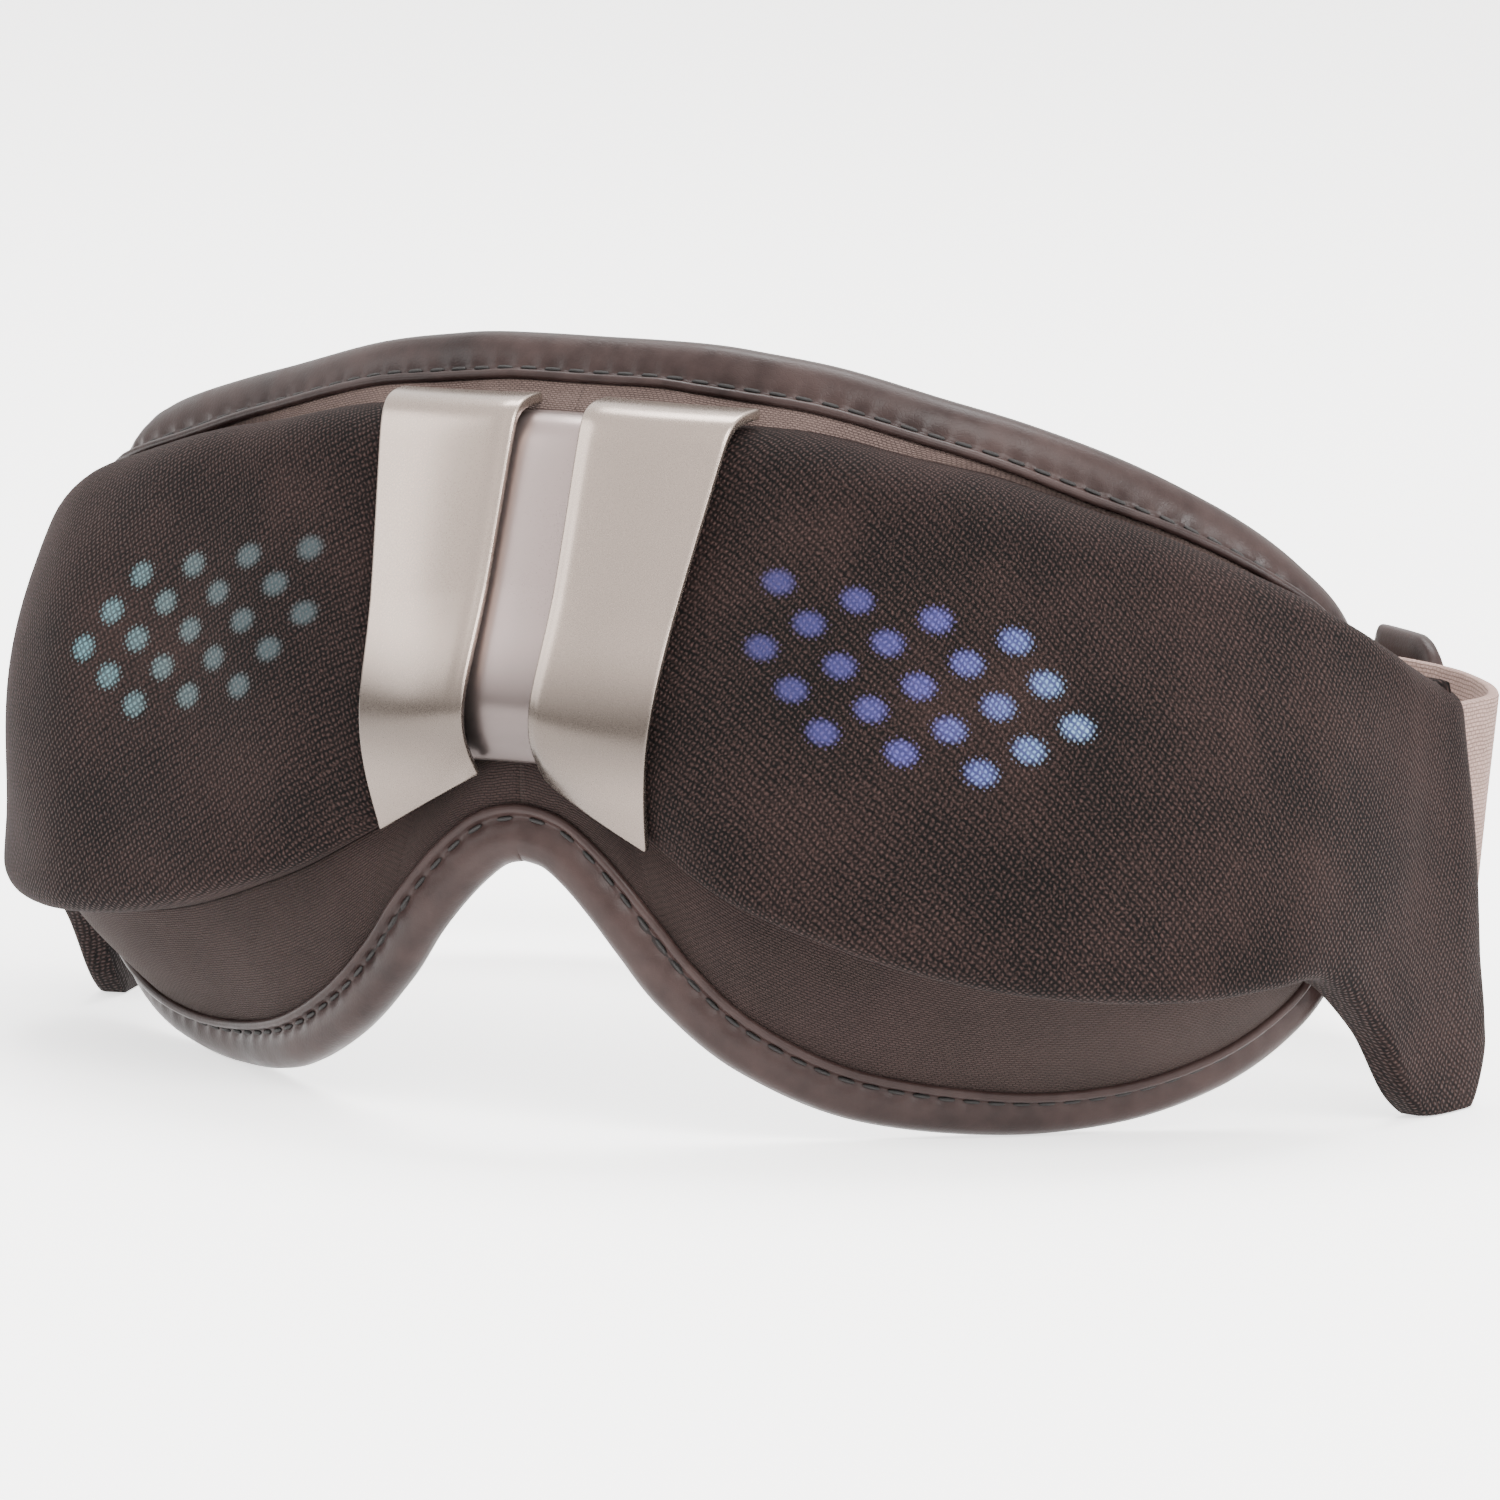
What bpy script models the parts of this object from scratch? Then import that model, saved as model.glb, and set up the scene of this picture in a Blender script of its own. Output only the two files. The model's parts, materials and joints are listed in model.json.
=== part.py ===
"""Folding eye massager mask: two padded pods on a hinged bridge, with side wings and a head strap.

Design points are in millimetres, measured from the front of the bridge: +X to the wearer's left,
+Y from the front towards the head, +Z up from the table. place() turns them into world metres,
with the origin under the middle of the footprint.
"""
import math

import bmesh
import bpy
from mathutils import Matrix, Vector

MM = 0.001
CENTRE_Y = 63.22
GAP = 0.3

FABRIC = 1.2
SHELL = 1.6
SHOULDER_RADIUS = 6.0
RIM_RADIUS = 4.0

PLATE = 1.4
BAND_HALF_WIDTH = 7.4

HINGE_X = 9.0
HINGE_Y = 9.8
PIN_RADIUS = 0.8
PIN_BOTTOM = 54.8
PIN_TOP = 71.0
BARREL_RADIUS = 2.3
BARREL_BOTTOM = 58.4
BARREL_TOP = 67.4
LUG = 2.9
SADDLE_HALF_WIDTH = 11.5
PAD_DEPTH = 7.4

ROLL_RADIUS = 2.6
CUSHION = 3.0
SKIRT = 1.2

FULL_FOOT = 1.6
FULL_SHOULDER = 5.0

LED_PITCH = 9.6
LED_ROW = 4.1
LED_RADIUS = 1.9
LED_WINDOW = (25.5, 0.6)
LED_GUIDE = (23.6, 0.56)
LED_ROWS = (3, 4, 5, 4, 3)

STRAP = 1.5
STRAP_LEAN = 3.0
STRAP_BOTTOM = 18.6
STRAP_TOP = 48.6

BUTTON_RADIUS = 3.6
BUTTON_CLEARANCE = 0.3
BUTTON_HEIGHTS = {"power_button": 11.5, "mode_button": 0.8}
PORT_HEIGHT = -11.0
BEZEL = (35.0, 11.0, 3.0)
BEZEL_PROUD = 0.6

# One row for each station of the pod's outer skin, from the bridge round to the rear of the wing:
# top corner x y z, bottom corner x y z, forward bulge, bulge skew, top return, bottom return.
STATIONS = (
    (12.5, 10.6, 84.9, 12.0, 3.0, 41.0, 3.2, 2.1, 6.2, 0.8),
    (20.0, 11.8, 84.8, 18.0, 2.0, 36.2, 4.9, 2.1, 7.0, 1.6),
    (31.0, 13.0, 84.1, 28.0, -0.6, 30.6, 3.4, 1.8, 8.2, 4.5),
    (42.8, 16.0, 81.7, 41.0, 0.6, 25.8, 1.9, 1.1, 8.6, 7.0),
    (53.5, 21.0, 79.4, 55.0, 5.6, 21.7, 2.2, 1.0, 9.0, 8.0),
    (63.0, 28.5, 75.7, 68.0, 12.4, 19.6, 4.0, 1.0, 8.0, 8.0),
    (72.5, 36.5, 71.4, 79.0, 23.0, 18.8, 4.4, 1.0, 6.4, 7.0),
    (81.0, 47.5, 65.5, 86.0, 32.5, 19.6, 3.0, 1.0, 4.2, 6.5),
    (85.8, 55.5, 60.9, 89.0, 42.0, 19.5, 1.8, 1.0, 3.8, 5.6),
    (88.7, 61.6, 57.4, 90.6, 53.0, 12.0, 1.2, 1.0, 4.6, 4.8),
    (90.3, 66.0, 55.2, 91.6, 61.0, 2.5, 0.8, 1.0, 6.6, 4.2),
    (91.4, 69.3, 53.4, 92.9, 67.5, -1.2, 0.5, 1.0, 6.8, 4.0),
    (92.0, 71.8, 52.2, 94.0, 74.0, -1.2, 0.5, 1.0, 6.0, 3.8),
    (91.9, 73.4, 51.4, 94.1, 78.2, 5.5, 0.4, 1.0, 4.2, 3.0),
    (90.9, 74.4, 50.9, 92.6, 80.2, 10.0, 0.3, 1.0, 2.4, 2.4),
)
LAST_STATION = len(STATIONS) - 1

# Roll of the face cushion: for the column at each station, its top and bottom points.
CUSHION_COLUMNS = (
    ((14.5, 24.3, 90.9), (14.2, 5.2, 23.8)),
    ((20.0, 25.0, 90.3), (18.8, 6.9, 17.8)),
    ((30.0, 26.8, 88.7), (26.5, 10.6, 10.8)),
    ((41.0, 30.0, 85.6), (37.5, 17.8, 5.0)),
    ((51.0, 34.5, 82.4), (51.0, 29.0, 2.6)),
    ((61.0, 41.0, 77.8), (62.5, 37.8, 3.7)),
    ((70.0, 48.5, 71.8), (71.5, 45.0, 7.4)),
    ((76.0, 55.0, 65.6), (77.5, 50.8, 12.6)),
    ((79.8, 60.0, 59.0), (80.8, 55.0, 18.6)),
)
CUSHION_SIDE = ((81.4, 61.6, 50.0), (81.9, 60.8, 39.0), (82.0, 58.6, 28.0))

# The two long edges of a bridge plate, from its tail on top of the mask to its lower corners.
PLATE_INNER = (
    (4.3, 16.0, 87.5), (4.3, 12.0, 87.5), (4.3, 9.4, 86.6), (4.3, 8.1, 84.4), (4.4, 0.5, 63.5),
    (4.4, -4.6, 54.6), (4.3, -6.0, 51.0), (4.2, -4.4, 47.0), (4.2, 0.0, 43.2),
)
PLATE_OUTER = (
    (23.9, 18.0, 87.0), (23.7, 14.2, 86.9), (23.3, 11.6, 85.9), (23.0, 10.0, 83.4), (19.9, 1.3, 61.0),
    (19.5, -2.2, 52.4), (19.2, -3.2, 48.4), (18.7, -2.4, 42.8), (17.7, 0.4, 35.4),
)

# Side line of the band between the plates, y and z: over the top of the bridge and down to its foot.
BAND_LINE = (
    (15.0, 85.6), (12.7, 85.5), (11.0, 84.3), (9.6, 82.0), (2.4, 62.7), (-2.5, 53.6), (-3.8, 51.0),
    (-2.7, 48.6), (1.6, 44.8),
)

# Plan of the head strap, from inside the wing to its end behind the head. The right strap lies
# outside the left one at the back of the head.
STRAP_LEFT_PLAN = (
    (87.9, 69.6), (88.8, 75.0), (89.9, 80.5), (90.9, 87.0), (89.0, 93.0), (84.2, 100.6), (76.0, 109.0),
    (63.0, 116.0), (44.0, 120.4), (22.0, 122.4), (0.0, 122.8), (-24.0, 121.4),
)
STRAP_RIGHT_PLAN = (
    (87.9, 69.6), (88.8, 75.0), (89.9, 80.5), (90.9, 87.0), (89.0, 93.0), (84.2, 101.4), (77.0, 111.4),
    (64.0, 121.6), (44.0, 126.8), (22.0, 128.6), (0.0, 129.6), (-22.0, 131.6), (-40.0, 132.4),
    (-54.0, 129.0), (-65.0, 121.4), (-72.5, 114.4),
)

COLOURS = {
    "shell_fabric": ((0.045, 0.033, 0.030, 1.0), 0.85, 0.0),
    "skirt_fabric": ((0.100, 0.078, 0.068, 1.0), 0.85, 0.0),
    "champagne": ((0.52, 0.47, 0.44, 1.0), 0.32, 0.55),
    "band_champagne": ((0.50, 0.46, 0.45, 1.0), 0.35, 0.5),
    "leather": ((0.110, 0.085, 0.080, 1.0), 0.5, 0.0),
    "lining": ((0.085, 0.066, 0.060, 1.0), 0.6, 0.0),
    "webbing": ((0.220, 0.180, 0.170, 1.0), 0.9, 0.0),
    "hook_tape": ((0.050, 0.042, 0.040, 1.0), 0.95, 0.0),
    "housing_plastic": ((0.030, 0.028, 0.028, 1.0), 0.45, 0.0),
    "steel": ((0.60, 0.60, 0.61, 1.0), 0.3, 1.0),
    "light_guide": ((0.70, 0.78, 0.84, 1.0), 0.4, 0.0),
    "circuit_board": ((0.02, 0.10, 0.05, 1.0), 0.45, 0.0),
    "airbag_film": ((0.35, 0.36, 0.38, 1.0), 0.35, 0.0),
    "heater_film": ((0.45, 0.20, 0.06, 1.0), 0.4, 0.0),
    "battery_wrap": ((0.10, 0.16, 0.30, 1.0), 0.4, 0.0),
    "pump_metal": ((0.40, 0.40, 0.42, 1.0), 0.4, 0.8),
    "button_plastic": ((0.40, 0.36, 0.34, 1.0), 0.4, 0.1),
    "silicone": ((0.30, 0.30, 0.31, 1.0), 0.5, 0.0),
}


def clear_scene():
    """Removes whatever the scene holds, so that a second run starts clean."""
    for old in list(bpy.data.objects):
        bpy.data.objects.remove(old, do_unlink=True)
    for old in list(bpy.data.collections):
        bpy.data.collections.remove(old)


def make_collection(name):
    """Adds a collection to the scene."""
    collection = bpy.data.collections.new(name)
    bpy.context.scene.collection.children.link(collection)
    return collection


clear_scene()
PARTS = make_collection("eye_massager_mask")
CUTTERS = make_collection("cutters")


def finish_material(slot):
    """One Principled BSDF material for each finish."""
    material = bpy.data.materials.get(slot)
    if material is None:
        material = bpy.data.materials.new(slot)
        material.use_nodes = True
        shader = material.node_tree.nodes["Principled BSDF"]
        colour, roughness, metallic = COLOURS[slot]
        shader.inputs["Base Color"].default_value = colour
        shader.inputs["Roughness"].default_value = roughness
        shader.inputs["Metallic"].default_value = metallic
        material.diffuse_color = colour
    return material


def place(point):
    """A design point in world metres."""
    x, y, z = point
    return Vector((x, y - CENTRE_Y, z)) * MM


def ease(t):
    """A smooth rise from 0 to 1."""
    t = max(0.0, min(1.0, t))
    return t * t * (3.0 - 2.0 * t)


def fullness(x, y, z):
    """How far the right pod stands out beyond the left one: most at its upper shoulder."""
    reach = FULL_FOOT + FULL_SHOULDER * ease((z - 25.0) / 40.0)
    return reach * ease((x - 45.0) / 25.0) * ease((60.0 - y) / 20.0)


def mirrored(point, side):
    """The same point on the left half (side +1) or the right half (side -1)."""
    x, y, z = point
    if side < 0:
        x += fullness(x, y, z)
    return Vector((x * side, y, z))


def add_object(name, mesh, slot):
    """Puts a mesh in the scene as a named sub-part with its finish."""
    mesh.materials.clear()
    mesh.materials.append(finish_material(slot))
    part = bpy.data.objects.new(name, mesh)
    PARTS.objects.link(part)
    return part


def as_cutter(part):
    """Moves a helper solid out of the parts, so that only its boolean shows."""
    PARTS.objects.unlink(part)
    CUTTERS.objects.link(part)
    part.hide_render = True
    part.display_type = "WIRE"
    return part


def combine(part, helper, operation):
    """Joins or cuts a part with a helper solid."""
    boolean = part.modifiers.new(operation.lower() + "_" + helper.name, "BOOLEAN")
    boolean.operation = operation
    boolean.solver = "EXACT"
    boolean.object = as_cutter(helper)


def shade_round(mesh):
    """Smooth shading with the real edges kept sharp."""
    mesh.shade_smooth()
    mesh.set_sharp_from_angle(angle=math.radians(35))


def ride_with(part, parent):
    """Parents a part without moving it."""
    bpy.context.view_layer.update()
    part.parent = parent
    part.matrix_parent_inverse = parent.matrix_world.inverted()


def spline_point(rows, u):
    """The row at a fractional index of a table, on a Catmull-Rom curve through the rows."""
    last = len(rows) - 1
    index = min(int(u), last - 1)
    t = u - index
    picks = [rows[max(0, min(last, index + k))] for k in (-1, 0, 1, 2)]
    values = []
    for a, b, c, d in zip(*picks):
        slope_in = 0.5 * (c - a)
        slope_out = 0.5 * (d - b)
        cubic = 2.0 * (b - c) + slope_in + slope_out
        square = 3.0 * (c - b) - 2.0 * slope_in - slope_out
        values.append(((cubic * t + square) * t + slope_in) * t + b)
    return values


def smooth_line(rows, count):
    """Evenly indexed rows of a smooth curve through the given ones."""
    last = len(rows) - 1
    return [spline_point(rows, last * i / (count - 1)) for i in range(count)]


def inward(u):
    """The level direction from the skin at station u into the mask."""
    before = spline_point(STATIONS, max(0.0, u - 0.25))
    after = spline_point(STATIONS, min(LAST_STATION, u + 0.25))
    run_x = after[0] + after[3] - before[0] - before[3]
    run_y = after[1] + after[4] - before[1] - before[4]
    return Vector((-run_y, run_x, 0.0)).normalized()


def skin_point(u, v, inset=0.0):
    """A point on the front of the skin: v runs from the top corner, 0, to the bottom one, 1."""
    row = spline_point(STATIONS, u)
    top = Vector(row[0:3])
    bottom = Vector(row[3:6])
    bulge = row[6] * math.sin(math.pi * v ** row[7])
    return top.lerp(bottom, v) + inward(u) * (inset - bulge)


def corner(before, at, after, steps):
    """Points of a rounded corner between two points, without its two ends."""
    points = []
    for i in range(1, steps):
        t = i / steps
        points.append(before * (1 - t) ** 2 + at * 2 * t * (1 - t) + after * t * t)
    return points


def skin_profile(u):
    """The whole section of the skin at station u, from its top return to its bottom return."""
    row = spline_point(STATIONS, u)
    top = Vector(row[0:3])
    bottom = Vector(row[3:6])
    into = inward(u)
    height = (bottom - top).length
    upper = min(SHOULDER_RADIUS, 0.8 * row[8])
    lower = min(RIM_RADIUS, 0.5 * row[9])
    front_top = skin_point(u, upper / height)
    front_bottom = skin_point(u, 1 - lower / height)
    points = [top + into * row[8], top + into * upper]
    points += corner(points[-1], top, front_top, 3)
    points.append(front_top)
    points += [skin_point(u, v) for v in (0.3, 0.5, 0.67, 0.82)]
    points.append(front_bottom)
    points += corner(front_bottom, bottom, bottom + into * lower, 2)
    points += [bottom + into * lower, bottom + into * row[9]]
    for point in points:
        point.z = max(0.0, point.z)
    return points


def sheet_part(name, slot, grid, side, thickness, face_head=False):
    """A curved sheet through a grid of points, thickened away from its visible face."""
    mesh = bpy.data.meshes.new(name)
    rows = len(grid)
    columns = len(grid[0])
    vertices = [place(mirrored(point, side)) for line in grid for point in line]
    faces = []
    for i in range(rows - 1):
        for j in range(columns - 1):
            a = i * columns + j
            face = (a, a + 1, a + columns + 1, a + columns)
            if (side < 0) != face_head:
                face = face[::-1]
            faces.append(face)
    mesh.from_pydata(vertices, [], faces)
    shade_round(mesh)
    part = add_object(name, mesh, slot)
    solidify = part.modifiers.new("thickness", "SOLIDIFY")
    solidify.thickness = thickness * MM
    solidify.offset = -1.0
    return part


def box_part(name, slot, centre, size, basis=None, side=1, bevel=0.0):
    """A box with rounded edges, turned to the given basis."""
    mesh = bpy.data.meshes.new(name)
    shape = bmesh.new()
    bmesh.ops.create_cube(shape, size=1.0)
    bmesh.ops.scale(shape, vec=Vector(size) * MM, verts=shape.verts)
    shape.to_mesh(mesh)
    shape.free()
    part = add_object(name, mesh, slot)
    part.matrix_world = placed_basis(centre, basis, side)
    if bevel > 0.0:
        rounding = part.modifiers.new("edges", "BEVEL")
        rounding.width = bevel * MM
        rounding.segments = 2
    return part


def disc_part(name, slot, centre, radius, depth, basis=None, side=1, segments=20, scale=(1.0, 1.0)):
    """A round or flattened disc whose axis is the basis's third direction."""
    mesh = bpy.data.meshes.new(name)
    shape = bmesh.new()
    bmesh.ops.create_cone(shape, cap_ends=True, segments=segments, radius1=radius * MM,
                          radius2=radius * MM, depth=depth * MM)
    bmesh.ops.scale(shape, vec=(scale[0], scale[1], 1.0), verts=shape.verts)
    shape.to_mesh(mesh)
    shape.free()
    shade_round(mesh)
    part = add_object(name, mesh, slot)
    part.matrix_world = placed_basis(centre, basis, side)
    return part


def placed_basis(centre, basis, side):
    """World matrix of a piece of the left half, or of its twin on the right half."""
    turn = Matrix.Identity(3) if basis is None else basis.copy()
    if side < 0:
        flip = Matrix.Diagonal((-1.0, 1.0, 1.0))
        turn = flip @ turn @ flip
    return Matrix.Translation(place(mirrored(centre, side))) @ turn.to_4x4()


def basis_from(across, up):
    """A turned basis: first direction across, third one close to up, second one into the mask."""
    first = Vector(across).normalized()
    third = Vector(up)
    third = (third - first * third.dot(first)).normalized()
    second = third.cross(first)
    return Matrix((first, second, third)).transposed()


def turned_part(name, slot, profile, centre, basis=None, side=1, steps=16):
    """A turned piece from an (radius, height) profile that starts and ends on the axis."""
    mesh = bpy.data.meshes.new(name)
    vertices = [(radius * MM, 0.0, height * MM) for radius, height in profile]
    edges = [(i, i + 1) for i in range(len(vertices) - 1)]
    mesh.from_pydata(vertices, edges, [])
    part = add_object(name, mesh, slot)
    screw = part.modifiers.new("turn", "SCREW")
    screw.steps = steps
    screw.render_steps = steps
    screw.use_merge_vertices = True
    screw.merge_threshold = 0.00001
    part.matrix_world = placed_basis(centre, basis, side)
    return part


def roll_part(name, slot, points, radius, side=1, resolution=2):
    """A round roll or tube along a line of points."""
    curve = bpy.data.curves.new(name, "CURVE")
    curve.dimensions = "3D"
    curve.bevel_depth = radius * MM
    curve.bevel_resolution = resolution
    curve.use_fill_caps = True
    spline = curve.splines.new("POLY")
    spline.points.add(len(points) - 1)
    for knot, point in zip(spline.points, points):
        knot.co = (*place(mirrored(point, side)), 1.0)
    curve.materials.append(finish_material(slot))
    part = bpy.data.objects.new(name, curve)
    PARTS.objects.link(part)
    return part


def cushion_point(c, v, ahead=0.0):
    """A point on the face side of the cushion: c counts columns and v runs from top to bottom."""
    column = [(*top, *bottom) for top, bottom in CUSHION_COLUMNS]
    row = spline_point(column, c)
    top = Vector(row[0:3])
    bottom = Vector(row[3:6])
    eye = math.sin(math.pi * min(1.0, c / 8.0)) * math.sin(math.pi * v)
    into = Vector((-0.32, 0.9, -0.1)).normalized()
    return top.lerp(bottom, v) + into * (1.6 * eye - ahead)


def cushion_grid(c_range, v_range, columns, rows, ahead=0.0):
    """A grid of points over part of the cushion, moved forwards from its face side."""
    grid = []
    for i in range(columns):
        c = c_range[0] + (c_range[1] - c_range[0]) * i / (columns - 1)
        line = []
        for j in range(rows):
            v = v_range[0] + (v_range[1] - v_range[0]) * j / (rows - 1)
            line.append(cushion_point(c, v, ahead))
        grid.append(line)
    return grid


def skin_grid(u_range, v_range, columns, rows, inset):
    """A grid of points under part of the skin."""
    grid = []
    for i in range(columns):
        u = u_range[0] + (u_range[1] - u_range[0]) * i / (columns - 1)
        line = []
        for j in range(rows):
            v = v_range[0] + (v_range[1] - v_range[0]) * j / (rows - 1)
            line.append(skin_point(u, v, inset))
        grid.append(line)
    return grid


# Basis of the light panel: its rows drop outwards and its face leans with the skin.
LED_CENTRE = Vector((48.4, 10.4, 56.3))
LED_BASIS = basis_from((0.919, 0.325, -0.223), (0.11, 0.32, 0.94))
LED_FACING = LED_BASIS @ Matrix.Rotation(math.radians(90), 3, "X")


def led_place(across, depth, up):
    """A point given in the light panel's own directions."""
    return LED_CENTRE + LED_BASIS @ Vector((across, depth, up))


def make_cover(tag, side):
    """Knitted fabric cover, from under the bridge plate round to the leg of the wing."""
    count = 24
    grid = [skin_profile(LAST_STATION * i / (count - 1)) for i in range(count)]
    return sheet_part("fabric_cover_" + tag, "shell_fabric", grid, side, FABRIC)


def make_front_shell(tag, side):
    """Moulded shell of the pod, with a window for the light panel."""
    grid = skin_grid((0.9, 6.5), (0.13, 0.85), 11, 7, FABRIC + 2 * GAP)
    shell = sheet_part("front_shell_" + tag, "housing_plastic", grid, side, SHELL)
    radius, flatness = LED_WINDOW
    window = disc_part("light_window_" + tag, "housing_plastic", led_place(0, 3.5, 0), radius, 14.0,
                       LED_FACING @ Matrix.Rotation(math.radians(90), 3, "Z"), side, 6, (flatness, 1.0))
    combine(shell, window, "DIFFERENCE")
    return shell


def make_light(tag, side):
    """Light guide with its raised dots, and the board of lamps behind it."""
    radius, flatness = LED_GUIDE
    guide = disc_part("light_guide_" + tag, "light_guide", led_place(0, 6.2, 0), radius, 1.6,
                      LED_FACING @ Matrix.Rotation(math.radians(90), 3, "Z"), side, 6, (flatness, 1.0))
    shape = bmesh.new()
    for row, count in enumerate(LED_ROWS):
        for k in range(count):
            across = (k - (count - 1) / 2) * LED_PITCH
            up = (2 - row) * LED_ROW
            spot = Matrix.Translation(Vector((across, up, 0.0)) * MM)
            bmesh.ops.create_cone(shape, cap_ends=True, segments=6, radius1=LED_RADIUS * MM,
                                  radius2=LED_RADIUS * MM, depth=2.6 * MM, matrix=spot)
    mesh = bpy.data.meshes.new("light_dots_" + tag)
    shape.to_mesh(mesh)
    shape.free()
    dots = add_object("light_dots_" + tag, mesh, "light_guide")
    dots.matrix_world = placed_basis(led_place(0, 6.0, 0), LED_FACING, side)
    combine(guide, dots, "UNION")
    board = box_part("light_board_" + tag, "circuit_board", led_place(1, 8.0, 0), (26, 1.0, 18),
                     LED_BASIS, side)
    return [guide, board]


def make_plate(tag, side):
    """Champagne plate that wraps over the top of the bridge and tapers to a pointed foot."""
    inner = smooth_line(PLATE_INNER, 17)
    outer = smooth_line(PLATE_OUTER, 17)
    grid = []
    for k in range(4):
        s = k / 3
        crown = 0.7 * math.sin(math.pi * s)
        line = [Vector(a).lerp(Vector(b), s) - Vector((0, crown, 0)) for a, b in zip(inner, outer)]
        grid.append(line)
    plate = sheet_part("bridge_plate_" + tag, "champagne", grid, side, PLATE)
    return plate


def make_cushion(tag, side):
    """Padded face cushion with its leather roll, and the fabric skirt that joins it to the pod."""
    pad = sheet_part("face_cushion_" + tag, "lining", face_grid(13, 8), side, CUSHION, True)
    tops = [top for top, bottom in CUSHION_COLUMNS]
    bottoms = [bottom for top, bottom in CUSHION_COLUMNS]
    loop = smooth_line(tops + list(CUSHION_SIDE) + bottoms[::-1], 34)
    roll = roll_part("cushion_roll_" + tag, "leather", loop, ROLL_RADIUS, side)
    skirt = make_skirt(tag, side)
    return [pad, roll, skirt]


def face_grid(columns, rows):
    """The cushion's face side, inside its roll: the lower edge leaves room for the skirt."""
    grid = []
    for i in range(columns):
        c = 0.25 + 7.3 * i / (columns - 1)
        height = (cushion_point(c, 1.0) - cushion_point(c, 0.0)).length
        upper = (ROLL_RADIUS + 1.2) / height
        lower = (7.0 + 3.5 * max(0.0, 3.0 - c)) / height
        line = []
        for j in range(rows):
            line.append(cushion_point(c, upper + (1.0 - upper - lower) * j / (rows - 1)))
        grid.append(line)
    return grid


def toward(start, end, distance):
    """The point a given distance from start on the way to end."""
    way = end - start
    return start + way.normalized() * distance


def make_skirt(tag, side):
    """Fabric band from the lower rim of the pod back to the leather roll."""
    grid = []
    for i in range(15):
        c = 8.0 * i / 14
        u = c + 0.35 * (1.0 - c / 8.0)
        profile = skin_profile(u)
        edge = profile[-1] + inward(u) * 0.6
        bottoms = [bottom for top, bottom in CUSHION_COLUMNS]
        roll = Vector(spline_point(bottoms, c))
        rim = toward(roll, edge, ROLL_RADIUS + 1.6)
        grid.append([edge.lerp(rim, j / 3) for j in range(4)])
    return sheet_part("fabric_skirt_" + tag, "skirt_fabric", grid, side, SKIRT)


def make_face_layers(tag, side):
    """Eye airbag and heater film behind the cushion, and the tray that carries the works."""
    heater = sheet_part("heating_pad_" + tag, "heater_film",
                        cushion_grid((1.5, 5.2), (0.24, 0.72), 7, 5, CUSHION + GAP), side, 0.5, True)
    airbag = sheet_part("eye_airbag_" + tag, "airbag_film",
                        cushion_grid((1.8, 6.2), (0.22, 0.72), 9, 6, CUSHION + 1.2), side, 1.8, True)
    return [heater, airbag]


def make_tray(tag, side):
    """Inner tray that carries the works at the outer end of the pod."""
    return sheet_part("inner_tray_" + tag, "housing_plastic",
                      cushion_grid((4.3, 6.6), (0.20, 0.76), 6, 6, CUSHION + 3.5), side, 1.4, True)


def make_wing(tag, side):
    """Plastic arm in the wing, the foam pad inside it and the bar that holds the strap."""
    arm = sheet_part("temple_arm_" + tag, "housing_plastic",
                     skin_grid((9.95, 12.1), (0.15, 0.88), 7, 6, FABRIC + 2 * GAP), side, SHELL)
    grid = skin_grid((10.1, 12.5), (0.06, 0.94), 6, 7, PAD_DEPTH)
    for line in grid:
        line[-2] -= inward(11.0) * 1.4
        line[-1] -= inward(11.0) * 2.8
    pad = sheet_part("temple_pad_" + tag, "lining", grid, side, 1.4)
    bar = box_part("strap_bar_" + tag, "housing_plastic", (86.9, 66.9, 33.6), (1.0, 2.4, 31.0),
                   None, side, 0.3)
    return [arm, pad, bar]


def strap_lean(x, y):
    """How far the lower edge of the strap stands in from its upper edge."""
    return STRAP_LEAN * (x / 90.0) * min(1.0, max(0.0, (y - 78.0) / 12.0))


def make_strap(tag, plan, side):
    """Elastic webbing of one side, which leans in slightly towards its lower edge."""
    line = smooth_line(plan, 2 * len(plan))
    grid = [[Vector((x, y, STRAP_TOP)), Vector((x - strap_lean(x, y), y, STRAP_BOTTOM))] for x, y in line]
    return sheet_part("strap_" + tag, "webbing", grid, side, STRAP)


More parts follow.
